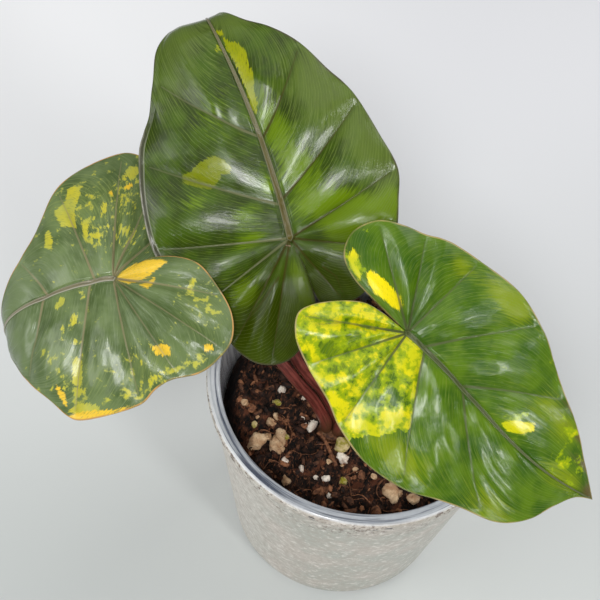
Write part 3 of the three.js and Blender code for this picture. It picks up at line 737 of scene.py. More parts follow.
def leaf_material(name, look):
    """Green tissue with pale strand lines, yellow sectors, veins, margin bands and a matt underside."""
    shader = Shader(name, coat_roughness=0.1)
    mix, step, noise = shader.mix, shader.step, shader.noise
    plus, times, linear = shader.plus, shader.times, shader.linear
    names = ("leaf_place", "leaf_flow", "leaf_lines", "leaf_tints", "leaf_marks")
    spot, flow, lines, tints, marks = [shader.attribute(key, "Vector") for key in names]
    s, _, station = shader.parts(spot)
    strand, outward, gold = shader.parts(flow)
    vein_gap, vein_run, rib_ratio = shader.parts(lines)
    glow, sheen_and_brown, marble = shader.parts(tints)
    patch, edge, under = shader.parts(marks)
    flat = shader.scaled(spot, (1, 1, 0))

    # Green tissue: broad clouds, fine streaks along the strands, brighter places, and places of painted grey
    # sheen, which on the right blade are a real brown instead
    cloud = noise(flat, 0.11)
    streak = noise(flow, (1.5, 0.22, 0), 4, 0.6)
    fleck = noise(flow, (2.6, 0.9, 0), 3, 0.6)
    colour = mix(look["dark"], look["mid"], step(cloud, 0.35, 0.65))
    colour = mix(colour, look["light"], step(streak, 0.46, 0.7), 0.4)
    uneven = linear(streak, 1.8, -0.9)
    colour = mix(colour, look["glow"], step(plus(glow, uneven), 0.15, 0.85), 0.85)
    colour = mix(colour, look["sheen_and_brown"], step(plus(sheen_and_brown, uneven), 0.1, 0.9), look["sheen_and_brown_share"])
    lobe = times(step(s, 2.0, -16.0), look["lobe_share"])
    colour = mix(colour, look["lobe"], lobe)

    # Pale strand lines, thin and long, that swing toward the tip
    phase = plus(strand, linear(noise(flat, 0.2, 2), 1.6, -0.8))
    wave = shader.math("SINE", times(phase, 2 * math.pi / look["pitch"]))
    fine = shader.math("SINE", times(phase, 2 * math.pi / FINE_PITCH))
    thread = times(step(wave, 0.86, 1.0), step(fleck, 0.3, 0.5))
    thread = times(thread, step(outward, 1.0, 6.0))
    colour = mix(colour, look["strand"], thread, look["strand_share"])

    # Yellow: marbling in two tones, then solid patches with ragged borders
    wander = linear(noise(flow, (1.6, 0.6, 0), 4, 0.65), 2.6, -1.3)
    solid = step(plus(patch, wander), -0.15, 0.15)
    golden = step(plus(gold, wander), -0.15, 0.15)
    field = shader.join(times(station, 2.6), times(outward, 0.42)) if look["fanned"] else flat
    blotch = noise(field, look["marble_scale"], 4, 0.62)
    mixed = plus(blotch, linear(marble, 0.3, -0.15))
    colour = mix(colour, look["lime"], step(mixed, *look["lime_from"]))
    yellow_share = shader.math("MAXIMUM", solid, step(mixed, *look["yellow_from"]))
    kept = linear(step(fleck, 0.52, 0.68), -look["fleck_share"], 1.0)
    yellow = mix(look["yellow"], look["yellow_pale"], step(cloud, 0.4, 0.6))
    colour = mix(colour, yellow, yellow_share, kept)
    colour = mix(colour, look["gold"], golden, kept)

    # Side veins with a shaded foot, then the midrib: painted shade in the flutes beside it, and a brown
    # middle between pale shoulders that are partly a painted highlight
    colour = mix(colour, look["dark"], step(vein_gap, 1.3, 0.2), look["vein_shade"])
    ratio = shader.math("DIVIDE", vein_gap, linear(vein_run, -0.2, 0.38))
    vein = times(step(ratio, 1.15, 0.6), linear(vein_run, -0.6, 0.95))
    vein_tone = look["vein"]
    if "vein_first" in look:
        vein_tone = mix(look["vein_first"], vein_tone, step(station, 11.4, 12.4))
    colour = mix(colour, vein_tone, vein)
    # Painted shade: a dark band along the flutes beside the midrib.
    colour = mix(colour, look["dark"], step(rib_ratio, 1.35, 1.05), 0.6)
    middle = mix(look["rib"], look["rib_pale"], step(s, 12.0, 45.0), 0.6)
    # The pale shoulders are partly a painted highlight.
    rib_tone = mix(middle, look["rib_pale"], step(rib_ratio, 0.55, 0.85))
    colour = mix(colour, rib_tone, step(rib_ratio, 1.08, 0.92))

    # Margin: a thin line, and where the first half's rim is rolled a dark band with a pale inner line and a
    # pale edge, both partly a painted highlight on the roll
    margin = look["margin"]
    if "rolled_dark" in look:
        first_half = step(station, HALF_MARK - 9.0, HALF_MARK - 10.0)
        rolled = times(times(first_half, step(s, 44.0, 34.0)), step(s, -5.0, 4.0))
        inner_line = times(step(edge, 1.3, 1.15), step(edge, 0.85, 1.0))
        colour = mix(colour, look["rolled_pale_highlight"], times(inner_line, rolled), 0.5)
        colour = mix(colour, look["rolled_dark"], times(step(edge, 0.95, 0.8), rolled), 0.85)
        margin = mix(margin, look["rolled_pale_highlight"], rolled)
    broken = linear(step(noise(flat, 0.16), 0.38, 0.58), 0.7, 0.25)
    colour = mix(colour, margin, step(edge, look["rim"], 0.06), broken)
    colour = mix(colour, look["under"], under, 0.85)

    calm = times(linear(vein, -0.85, 1.0), linear(lobe, -0.85, 1.0))
    shader.set("Specular IOR Level", times(calm, 0.32))
    shader.set("Coat Weight", times(calm, 0.16))
    gloss = linear(streak, 0.16, look["roughness"] - 0.09)
    rise = plus(linear(thread, 0.12, times(fine, 0.16)), times(fleck, 0.8))
    return shader.done(colour, linear(under, 0.3, gloss), rise, 0.5, 0.09)


# Colours of each blade, shares of what lies over them, and where its yellow starts in the noise.
LOOKS = {
    "back": dict(
        dark=(40, 56, 2), mid=(62, 88, 2), light=(90, 112, 14), glow=(104, 132, 2),
        sheen_and_brown=(94, 112, 46), sheen_and_brown_share=0.7, lobe=(50, 60, 2), lobe_share=0.75,
        strand=(136, 152, 84), strand_share=0.24, pitch=1.3,
        yellow=(152, 156, 2), yellow_pale=(138, 146, 2), lime=(110, 132, 4), gold=(118, 128, 2),
        fleck_share=0.45, marble_scale=0.4, fanned=False, lime_from=(0.4, 0.5), yellow_from=(0.49, 0.6),
        vein=(64, 60, 22), vein_first=(106, 108, 76), vein_shade=0.35,
        rib=(84, 76, 30), rib_pale=(122, 120, 92), margin=(74, 72, 48), rim=0.4,
        rolled_pale_highlight=(150, 148, 132), rolled_dark=(60, 58, 44), under=(104, 122, 84), roughness=0.22,
    ),
    "right": dict(
        dark=(50, 86, 4), mid=(84, 116, 10), light=(112, 138, 40), glow=(126, 144, 4),
        sheen_and_brown=(92, 74, 46), sheen_and_brown_share=0.85, lobe=(60, 92, 20), lobe_share=0.2,
        strand=(144, 162, 90), strand_share=0.2, pitch=1.5,
        yellow=(218, 208, 8), yellow_pale=(196, 196, 16), lime=(140, 162, 6), gold=(238, 218, 8),
        fleck_share=0.3, marble_scale=0.36, fanned=False, lime_from=(0.36, 0.47), yellow_from=(0.475, 0.6),
        vein=(84, 92, 56), vein_shade=0.25, rib=(72, 80, 44), rib_pale=(104, 112, 76),
        margin=(170, 152, 98), rim=0.24, under=(120, 142, 94), roughness=0.22,
    ),
    # Left blade: its greens are lifted and greyed, partly a painted sheen.
    "left": dict(
        dark=(76, 95, 50), mid=(108, 126, 78), light=(128, 142, 100), glow=(118, 134, 66),
        sheen_and_brown=(110, 126, 90), sheen_and_brown_share=0.65, lobe=(84, 102, 56), lobe_share=0.3,
        strand=(144, 156, 118), strand_share=0.1, pitch=1.5,
        yellow=(194, 186, 54), yellow_pale=(180, 180, 74), lime=(138, 148, 76),
        gold=(234, 194, 56), fleck_share=0.5, marble_scale=1.0, fanned=True,
        lime_from=(0.39, 0.46), yellow_from=(0.43, 0.51),
        vein=(136, 128, 96), vein_shade=0.2, rib=(122, 116, 90), rib_pale=(168, 164, 148),
        margin=(200, 152, 88), rim=0.24, under=(126, 140, 114), roughness=0.26,
    ),
}


# Petioles, as points from the crown's top up to the blade
PETIOLE_PATHS = {
    "back": [(-5.6, -7.9, 0), (-5.7, -7.9, 2.5), (-10.4, -7.3, 14.3), (-15, -8.3, 23.3), (-19, -8.9, 32.3),
             (-22, -8.4, 41.3), (-24.6, -6.2, 55.3), (-26, -2, 67.3), (-26.1, 0.2, 71.7), (-26.2, 0.6, 73.4)],
    "left": [(-7.6, -10.8, 0), (-7.7, -10.8, 2.5), (-12.7, -10.3, 14.3), (-17.2, -11.3, 23.3),
             (-21.5, -12, 32.3), (-25.4, -12, 38.8), (-36.5, -11.6, 49.8), (-50, -13.2, 56.9),
             (-62, -15.8, 60.9), (-65.9, -16.9, 62.1), (-67, -17.1, 63.4)],
    "right": [(-3.9, -11, 0), (-3.8, -11, 2.5), (-0.6, -10.6, 18.3), (2.6, -10.4, 38.3), (5, -11.8, 56.3),
              (6.6, -15.4, 68.9), (7, -17.4, 72.1), (7.1, -17.8, 73.8)],
}


def spaced_path(points, count):
    """Smooth curve through the points, cut into equal steps."""
    points = np.asarray(points, float)
    knots = running(np.linalg.norm(np.diff(points, axis=0), axis=1) ** 0.5)
    slopes = np.gradient(points, knots, axis=0)
    fine = []
    for i in range(len(points) - 1):
        f = np.linspace(0, 1, 40, endpoint=i == len(points) - 2)[:, None]
        span = knots[i + 1] - knots[i]
        fine.append(
            (2 * f**3 - 3 * f**2 + 1) * points[i] + (f**3 - 2 * f**2 + f) * span * slopes[i]
            + (3 * f**2 - 2 * f**3) * points[i + 1] + (f**3 - f**2) * span * slopes[i + 1]
        )
    fine = np.concatenate(fine)
    run = running(np.linalg.norm(np.diff(fine, axis=0), axis=1))
    even = np.linspace(0, run[-1], count)
    return np.stack([np.interp(even, run, fine[:, k]) for k in range(3)], -1)


def tube(path, radius_at, sides):
    """Points of a tube round a path; radius_at takes the share along it and the angle round it."""
    tangent = np.gradient(path, axis=0)
    tangent /= np.linalg.norm(tangent, axis=1)[:, None]
    normal = np.array([0.0, -1.0, 0.0])
    angles = angles_round(sides)
    rows = []
    for i, (centre, forward) in enumerate(zip(path, tangent)):
        normal = normal - forward * normal.dot(forward)
        normal /= np.linalg.norm(normal)
        other = np.cross(forward, normal)
        radius = radius_at(i / (len(path) - 1), angles)
        ring = np.outer(radius * np.cos(angles), normal) + np.outer(radius * np.sin(angles), other)
        rows.append(centre + ring)
    return np.array(rows)


def closed_tube(path, radius_at, sides):
    """Tube with pinched ends, as points and quads; each row of points runs along the path."""
    rows = tube(path, radius_at, sides)
    rows = np.concatenate([path[:1, None].repeat(sides, 1), rows, path[-1:, None].repeat(sides, 1)])
    grid = rows.transpose(1, 0, 2)
    return grid.reshape(-1, 3), grid_faces(sides, grid.shape[1], wrap=True, flip=True)


def petiole_piece(name, material):
    """Ridged stalk with a channel on one side, wider at both ends."""
    points = np.array(PETIOLE_PATHS[name], float)
    points[:, 2] += STEM_TOP + FIT_GAP

    def radius_at(share, angles):
        ridges = 0.035 * np.cos(7 * angles + 2.2 * share) + 0.02 * np.cos(13 * angles)
        channel = 0.16 * hill((angles - math.pi) / 0.45)
        swell = 1 + 0.22 * math.exp(-share / 0.05) + 0.12 * hill((1 - share) / 0.04)
        return PETIOLE_RADIUS * swell * (1 + ridges - channel)

    spots, faces = closed_tube(spaced_path(points, PETIOLE_ROWS), radius_at, PETIOLE_SIDES)
    shares = np.linspace(0, 1, PETIOLE_ROWS + 2)
    angle, share = np.meshgrid(angles_round(PETIOLE_SIDES), shares, indexing="ij")
    round_way = np.stack([np.cos(angle), np.sin(angle), share * 40], -1).reshape(-1, 3)
    marks = dict(share=share.ravel(), stalk=round_way)
    weld(make_piece(f"stalk_{name}", spots, faces, material, (f"petiole_{name}",), marks))


def petiole_material():
    """Maroon skin with fine lengthwise streaks, browner at the foot and greener under the blade."""
    shader = Shader("stalk_skin", specular_ior_level=0.5, coat_weight=0.2, coat_roughness=0.3)
    stalk = shader.attribute("stalk", "Vector")
    share = shader.attribute("share")
    streak = shader.noise(stalk, (3.0, 3.0, 0.25), 4, 0.6)
    fleck = shader.noise(stalk, (6.0, 6.0, 2.0), 2)
    colour = shader.mix((90, 32, 25), (156, 78, 68), shader.step(streak, 0.35, 0.65))
    colour = shader.mix(colour, (196, 132, 112), shader.step(fleck, 0.6, 0.75), 0.4)
    colour = shader.mix(colour, (84, 54, 34), shader.step(share, 0.12, 0.0))
    colour = shader.mix(colour, (104, 92, 44), shader.step(share, 0.7, 1.0), 0.6)
    return shader.done(colour, shader.linear(streak, 0.25, 0.28), streak, 0.5, 0.15)


# Crown, as height above its bottom and radius
CROWN_PROFILE = [(0, 0), (0, 2.6), (6, 3.8), (14, 4.2), (22, 3.7), (27, 4.1), (30, 4.2), (33, 4.15),
                 (34.6, 3.9), (35.2, 3.2), (35.4, 0)]


def crown_piece(material):
    """Short crown in the soil with papery sheath edges round its top."""
    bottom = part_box("stem")[0].z / MM
    fine = np.linspace(0, len(CROWN_PROFILE) - 1, STEM_ROWS)
    z, r = (np.interp(fine, np.arange(len(CROWN_PROFILE)), values) for values in zip(*CROWN_PROFILE))
    a, r = np.meshgrid(angles_round(STEM_SIDES), r, indexing="ij")
    z = np.broadcast_to(z + bottom, a.shape)
    ripple = 1 + 0.03 * np.cos(9 * a + 0.3 * z) + 0.02 * np.cos(5 * a - 0.9 * z)
    ring = 1 - 0.03 * hill((z - bottom - 29) / 0.5)
    r = np.minimum(r * ripple * ring, STEM_RADIUS)
    spots = np.stack([STEM_AT[0] + r * np.cos(a), STEM_AT[1] + r * np.sin(a), z], -1)
    weld(make_piece("crown", spots, grid_faces(*a.shape, wrap=True), material, ("stem",)))


def crown_material():
    """Brown corky skin with lengthwise fibres and paler papery scars."""
    shader = Shader("crown_skin", specular_ior_level=0.3)
    spot = shader.place()
    fibre = shader.noise(spot, (1400.0, 1400.0, 260.0), 4)
    scar = shader.noise(spot, (300.0, 300.0, 900.0))
    colour = shader.mix((58, 34, 22), (118, 78, 52), shader.step(fibre, 0.35, 0.65))
    colour = shader.mix(colour, (150, 116, 84), shader.step(scar, 0.55, 0.7), 0.5)
    return shader.done(colour, shader.linear(fibre, 0.2, 0.6), fibre, 0.6, 0.3)


# Pot
def outer_radius(z):
    """Radius of the pot's wall outside, at a height."""
    return BASE_RADIUS + (SHOULDER_RADIUS - BASE_RADIUS) * z / (POT_HEIGHT - RIM_HEIGHT)


def pot_profile():
    """Points (radius, height, zone): zone is 0 on the filmed outside, rises over the lip, and is 3 inside."""
    shoulder = POT_HEIGHT - RIM_HEIGHT
    under = FOOT_RISE - 0.4
    profile = [
        (0, 0, 0), (DRAIN_CIRCLE - 6, 0, 0), (DRAIN_CIRCLE - 5, under, 0), (FOOT_INNER_RADIUS - 1, under, 0),
        (FOOT_INNER_RADIUS, 0, 0), (FOOT_RADIUS, 0, 0), (FOOT_RADIUS + 0.8, 0.6, 0),
        (outer_radius(2) - 0.4, 1.2, 0),
    ]
    profile += [(outer_radius(z), z, 0) for z in np.linspace(3, shoulder, 26)]
    collar = [(-0.5, -3.8, 0), (-0.1, -3.4, 0), (0, -2.7, 0), (-0.15, -2, 0), (0, -1.2, 0)]
    lip = [(-0.15, -0.6, 0.3), (-0.5, -0.2, 0.6), (-1.1, 0, 1), (-1.6, -0.1, 1.2), (-2, -0.5, 1.35),
           (-2.5, -0.4, 1.5), (-3.1, -0.7, 1.7), (-3.6, -0.8, 1.85)]
    throat = [(-LIP_WIDTH, -1.3, 2), (-LIP_WIDTH, -2.3, 2.6)]
    profile += [(RIM_RADIUS + r, POT_HEIGHT + z, zone) for r, z, zone in collar + lip + throat]
    profile += [(outer_radius(z) - WALL, z, 3) for z in np.linspace(shoulder, FLOOR + 1.5, 26)]
    profile += [(outer_radius(FLOOR) - WALL - 1.5, FLOOR, 3), (DRAIN_CIRCLE + 5, FLOOR, 3), (0, FLOOR, 3)]
    return np.array(profile, float)


def pot_piece(material):
    """The profile turned round the pot's axis, with the drain holes cut through its base."""
    r, z, zone = pot_profile().T
    a, r = np.meshgrid(angles_round(POT_SIDES), r, indexing="ij")
    spots = np.stack([r * np.cos(a), r * np.sin(a), np.broadcast_to(z, a.shape)], -1)
    faces = grid_faces(*a.shape, wrap=True)
    marks = dict(zone=np.tile(zone, POT_SIDES))
    piece = make_piece("pot_shell", spots, faces, material, ("pot",), marks)
    weld(piece)
    drill_drains(piece)


def drill_drains(piece):
    """Cuts the ring of round drain holes through the base."""
    work = bmesh.new()
    for i in range(DRAIN_COUNT):
        angle = 2 * math.pi * i / DRAIN_COUNT
        spot = Vector((DRAIN_CIRCLE * math.cos(angle), DRAIN_CIRCLE * math.sin(angle), FLOOR / 2)) * MM
        bmesh.ops.create_cone(work, cap_ends=True, segments=DRAIN_SIDES, radius1=DRAIN_RADIUS * MM,
                              radius2=DRAIN_RADIUS * MM, depth=8 * MM, matrix=Matrix.Translation(spot))
    mesh = bpy.data.meshes.new("drain_cutter")
    work.to_mesh(mesh)
    work.free()
    cutter = bpy.data.objects.new("drain_cutter", mesh)
    bpy.context.scene.collection.objects.link(cutter)
    cut = piece.modifiers.new("drains", "BOOLEAN")
    cut.operation = "DIFFERENCE"
    cut.solver = "EXACT"
    cut.object = cutter
    bpy.context.view_layer.update()
    result = bpy.data.meshes.new_from_object(piece.evaluated_get(bpy.context.evaluated_depsgraph_get()))
    piece.modifiers.clear()
    old = piece.data
    piece.data = result
    bpy.data.meshes.remove(old)
    bpy.data.objects.remove(cutter)
    bpy.data.meshes.remove(mesh)


# Dark marks on the collar: direction in degrees, height, half width in degrees, half height.
COLLAR_MARKS = [(-102.5, 86.2, 1.1, 0.3), (-96.4, 85.9, 1.3, 0.35), (-96, 84.9, 1.2, 0.25),
                (-74, 85.2, 1.1, 0.3), (-69.4, 85.6, 1.5, 0.25)]


def pot_material():
    """Clear plastic: mottled film outside, blue-grey lip bands, streaked inside, with painted light and
    shade.
    """
    shader = Shader("pot_plastic", specular_ior_level=0.5, coat_weight=0.4, coat_roughness=0.15)
    mix, step, noise, times, linear = shader.mix, shader.step, shader.noise, shader.times, shader.linear
    spot = shader.place()
    zone = shader.attribute("zone")
    x, y, z = shader.parts(spot)
    height = times(z, 1 / MM)
    degrees = times(shader.math("ARCTAN2", y, x), 180 / math.pi)
    painted_light_left = step(x, -0.004, -0.034)
    cloud = noise(spot, 60.0, 4, 0.6)
    grain = noise(spot, 520.0, 4, 0.7)
    specks = noise(spot, 700.0, 3, 0.75)

    # Film outside: warmer and lighter on the left as painted light, speckled, with dirt near the rim and a
    # seam under the collar
    film = mix((207, 197, 186), (186, 186, 175), step(cloud, 0.35, 0.65))
    film = mix(film, (240, 230, 219), painted_light_left, 0.7)
    film = mix(film, (178, 166, 152), step(grain, 0.49, 0.6), 0.5)
    film = mix(film, (246, 240, 232), step(grain, 0.46, 0.36), 0.6)
    patchy = linear(step(noise(spot, 90.0), 0.38, 0.58), 0.7, 0.25)
    dirt = times(step(specks, 0.5, 0.6), step(height, 64.0, 84.0))
    film = mix(film, (104, 80, 62), dirt, patchy)
    seam = times(step(height, 83.5, 83.9), step(height, 84.6, 84.2))
    film = mix(film, (128, 120, 108), seam, step(cloud, 0.38, 0.62))
    for way, level, half_width, half_height in COLLAR_MARKS:
        aside = shader.math("ABSOLUTE", shader.plus(degrees, -way))
        above = shader.math("ABSOLUTE", shader.plus(height, -level))
        mark = times(step(aside, half_width, half_width * 0.6), step(above, half_height, half_height * 0.6))
        film = mix(film, (26, 34, 46), mark, step(specks, 0.32, 0.44))

    # Bands that run round the lip, and upright streaks on the inner wall
    bands = noise(shader.join(times(x, 38.0), times(y, 38.0), times(zone, 3.2)), 1.0)
    lip = mix((84, 92, 110), (204, 209, 216), step(bands, 0.36, 0.56))
    streak = noise(spot, (440, 440, 20), 4, 0.6)
    inner = mix((150, 150, 158), (230, 232, 236), step(streak, 0.35, 0.65))
    # Painted shade: the inner wall darkens toward the soil.
    inner = mix(inner, (96, 94, 100), step(height, 76.0, 64.0), 0.4)
    clear = step(zone, 0.2, 0.9)
    colour = mix(film, lip, clear)
    # Painted highlight: a white line along the outer lip, stronger on the left.
    painted_highlight_line = times(step(zone, 0.25, 0.5), step(zone, 1.0, 0.8))
    colour = mix(colour, (246, 248, 250), painted_highlight_line, linear(painted_light_left, 0.5, 0.35))
    colour = mix(colour, inner, step(zone, 1.9, 2.6))
    film_cover = times(linear(cloud, 0.06, 0.94), linear(clear, -1.0, 1.0))
    shader.set("Alpha", shader.plus(film_cover, times(linear(streak, 0.3, 0.62), clear)))
    return shader.done(colour, linear(clear, -0.36, 0.5), grain, 0.3, 0.15)


# Soil
def soil_top(x, y):
    """The bumpy plateau that the solids have, falling away at the wall."""
    r = np.hypot(x, y)
    bumps = (0.55 * np.sin(0.42 * x + 1.3) * np.cos(0.47 * y + 0.4)
             + 0.35 * np.sin(0.95 * x - 0.71 * y) + 0.25 * np.cos(1.3 * y + 0.9 * x))
    return SOIL_TOP + bumps - SOIL_EDGE_DROP * smooth((r - SOIL_PLATEAU) / 4.5)


def crumbs(x, y, seed, cell):
    """Value noise, 0 to 1, from a seeded lattice."""
    lattice = np.random.default_rng(seed).random((LATTICE, LATTICE))
    i = np.floor(x / cell).astype(int)
    j = np.floor(y / cell).astype(int)
    f = smooth(x / cell - i)
    g = smooth(y / cell - j)
    pick = lambda a, b: lattice[(i + a) % LATTICE, (j + b) % LATTICE]
    near = pick(0, 0) * (1 - f) + pick(1, 0) * f
    far = pick(0, 1) * (1 - f) + pick(1, 1) * f
    return near * (1 - g) + far * g


def soil_height(x, y):
    """Top of the soil with crumbs of three sizes, calmer near the wall."""
    rough = 0
    for seed, cell, size in ((3, 2.6, 1.6), (4, 1.2, 1.2), (5, 0.6, 0.6)):
        rough = rough + size * (crumbs(x, y, seed, cell) - 0.5)
    return soil_top(x, y) + rough * (0.3 + 0.7 * smooth((SOIL_PLATEAU + 4 - np.hypot(x, y)) / 3))


def soil_piece(material):
    """Crumbly top, with plain sides and bottom inside the pot and a well round the crown."""
    edge = outer_radius(SOIL_TOP - SOIL_EDGE_DROP) - WALL - FIT_GAP
    bottom = FLOOR + FIT_GAP
    foot = outer_radius(bottom) - WALL - 2
    a, r = np.meshgrid(angles_round(SOIL_SIDES), [*np.linspace(0, edge, SOIL_RINGS), foot, 0], indexing="ij")
    x = r * np.cos(a)
    y = r * np.sin(a)
    z = soil_height(x, y)
    near_crown = np.hypot(x - STEM_AT[0], y - STEM_AT[1])
    z -= WELL_DEPTH * smooth((STEM_RADIUS + 1.5 - near_crown) / 1.5)
    z[:, SOIL_RINGS:] = bottom
    spots = np.stack([x, y, z], -1)
    faces = grid_faces(*a.shape, wrap=True, flip=True)
    weld(make_piece("soil_bed", spots, faces, material, ("soil",)))


def soil_material():
    """Near-black peat with red-brown fibres and bark, with painted shade in the gap beside the wall."""
    shader = Shader("peat", specular_ior_level=0.25)
    mix, step, times = shader.mix, shader.step, shader.times
    spot = shader.place()
    x, y, _ = shader.parts(spot)
    crumb = shader.noise(spot, 520.0, 5, 0.65)
    bark = shader.noise(spot, 210.0, 4, 0.6, 0.8)
    fibre = shader.noise(spot, (1300.0, 420.0, 600.0), 4, 0.6, 1.5)
    colour = mix((8, 6, 5), (50, 30, 21), step(crumb, 0.42, 0.62))
    colour = mix(colour, (92, 52, 34), step(bark, 0.52, 0.62), 0.75)
    colour = mix(colour, (132, 82, 54), step(fibre, 0.56, 0.66), 0.7)
    # Painted shade: a near-black ring on the slope down to the wall.
    radius = shader.math("SQRT", shader.plus(times(x, x), times(y, y)))
    colour = mix(colour, (10, 9, 10), step(radius, 36.0 * MM, 37.6 * MM), 0.85)
    return shader.done(colour, 0.9, crumb, 0.9, 0.8)


def stone(random, size, centre, steps):
    """One knobbly lump: a subdivided cube pushed out to a rounded, uneven shape."""
    line = np.linspace(-1, 1, steps)
    a, b = np.meshgrid(line, line, indexing="ij")
    one = np.ones_like(a)
    sheets = [(a, b, one), (b, a, -one), (one, a, b), (-one, b, a), (b, one, a), (a, -one, b)]
    points = np.concatenate([np.stack(sheet, -1).reshape(-1, 3) for sheet in sheets])
    faces = np.concatenate([grid_faces(steps, steps) + i * steps**2 for i in range(len(sheets))])
    points /= np.linalg.norm(points, axis=1)[:, None] ** 0.8
    waves = random.normal(size=(5, 3)) * (1.6, 2, 2)
    turns = random.random(5) * 6.28
    swell = 1 + 0.12 * np.sin(points @ waves.T + turns).sum(1)
    swell = swell + 0.05 * np.sin(points @ (waves.T * 3.3) + turns).sum(1)
    points = points * swell[:, None] * np.array(size) / 2
    angle = random.random() * 2 * math.pi
    c, s = math.cos(angle), math.sin(angle)
    spin = np.array([[c, -s, 0], [s, c, 0], [0, 0, 1]])
    return points @ spin.T + np.array(centre), faces


class Heap:
    """Many small closed shapes gathered into one mesh, each with a tone of its own."""

    def __init__(self):
        self.points = []
        self.faces = []
        self.tones = []
        self.count = 0

    def add(self, shape, tone):
        points, faces = shape
        self.points.append(points)
        self.faces.append(faces + self.count)
        self.tones.append(np.full(len(points), float(tone)))
        self.count += len(points)

    def piece(self, name, material):
        points, faces, tones = map(np.concatenate, (self.points, self.faces, self.tones))
        return make_piece(name, points, faces, material, attributes=dict(tone=tones))


# Pumice and other lumps seen in the photograph: x, y, length, width, tone (0 beige, 1 white, 2 yellow-green).
STONES = [
    (-26, -20.3, 5.4, 4.4, 0), (-19.5, -17, 5.6, 3.4, 0), (-20, -20.6, 5, 3.6, 0),
    (-12, -10.5, 3.8, 2.4, 1), (-0.5, -18.7, 2.6, 3.6, 1), (0.7, -25.3, 2.2, 2, 2), (-2.2, -15, 4.4, 4, 2),
    (-16.6, -23.5, 1.7, 1.6, 1), (-11.4, -24.6, 1.4, 2.1, 1), (-6.8, -25.8, 1.4, 1.3, 1),
    (-4.2, -25.7, 1.8, 2.3, 1), (-1.9, -30.4, 1.3, 1.6, 1), (3.8, -20.9, 2.2, 1.4, 0),
    (-23.2, -1.5, 2.4, 2.2, 1), (-16, -3, 1.8, 1.5, 1), (-15, -8.4, 1.5, 1.3, 1), (-15, -30, 2.9, 2.2, 0),
    (15.2, -25.7, 5, 4.7, 0), (21.8, -25.6, 3, 3.5, 0), (-23.4, -13, 2.2, 3.6, 0),
    (-22.4, -10.6, 1.6, 2.4, 0), (-27.8, -15.6, 1.6, 1.6, 2), (-23.3, -6.4, 2.4, 1.7, 2),
    (-32.5, -9, 1.8, 2.3, 0),
]

# Twig beside the crown, as places on the soil.
TWIG = [(-9.5, -12.5), (-7.5, -13.8), (-5.4, -16.5), (-3.6, -19), (-2, -21.3)]


def scatter(count, seed, inner, outer, keep_clear):
    """Seeded places on the soil, away from the crown."""
    random = np.random.default_rng(seed)
    spots = []
    while len(spots) < count:
        angle = random.random() * 2 * math.pi
        radius = math.sqrt(inner**2 + (outer**2 - inner**2) * random.random())
        x = radius * math.cos(angle)
        y = radius * math.sin(angle)
        if math.hypot(x - STEM_AT[0], y - STEM_AT[1]) > keep_clear:
            spots.append((x, y))
    return spots


def stones_piece(material):
    """Lumps seen in the photograph, and some small scattered ones between them."""
    random = np.random.default_rng(21)
    stones = list(STONES)
    for x, y in scatter(SMALL_STONES, seed=8, inner=4, outer=36, keep_clear=7):
        size = 0.8 + 1.6 * random.random() ** 2
        stones.append((x, y, size * 1.25, size, random.choice([0, 1, 0, 2])))
    heap = Heap()
    for x, y, length, width, tone in stones:
        z = float(soil_height(np.array(x), np.array(y))) + 0.18 * width
        heap.add(stone(random, (length, width, 0.8 * width), (x, y, z), STONE_STEPS), tone)
    weld(heap.piece("pumice", material))


def stones_material():
    """Beige, white and greenish pumice with pores and dark stains."""
    shader = Shader("pumice", specular_ior_level=0.25)
    mix, step = shader.mix, shader.step
    spot = shader.place()
    tone = shader.attribute("tone")
    patchy = shader.noise(spot, 380.0, 4)
    pores = shader.noise(spot, 1500.0, 3, 0.7)
    beige = mix((170, 132, 98), (216, 186, 150), step(patchy, 0.35, 0.65))
    white = mix((196, 176, 160), (236, 226, 212), step(patchy, 0.35, 0.65))
    green = mix((140, 132, 40), (196, 176, 130), step(patchy, 0.4, 0.6))
    colour = mix(beige, white, step(tone, 0.4, 0.6))
    colour = mix(colour, green, step(tone, 1.4, 1.6))
    colour = mix(colour, (70, 46, 34), step(pores, 0.58, 0.7), 0.7)
    return shader.done(colour, 0.85, pores, 0.8, 0.4)


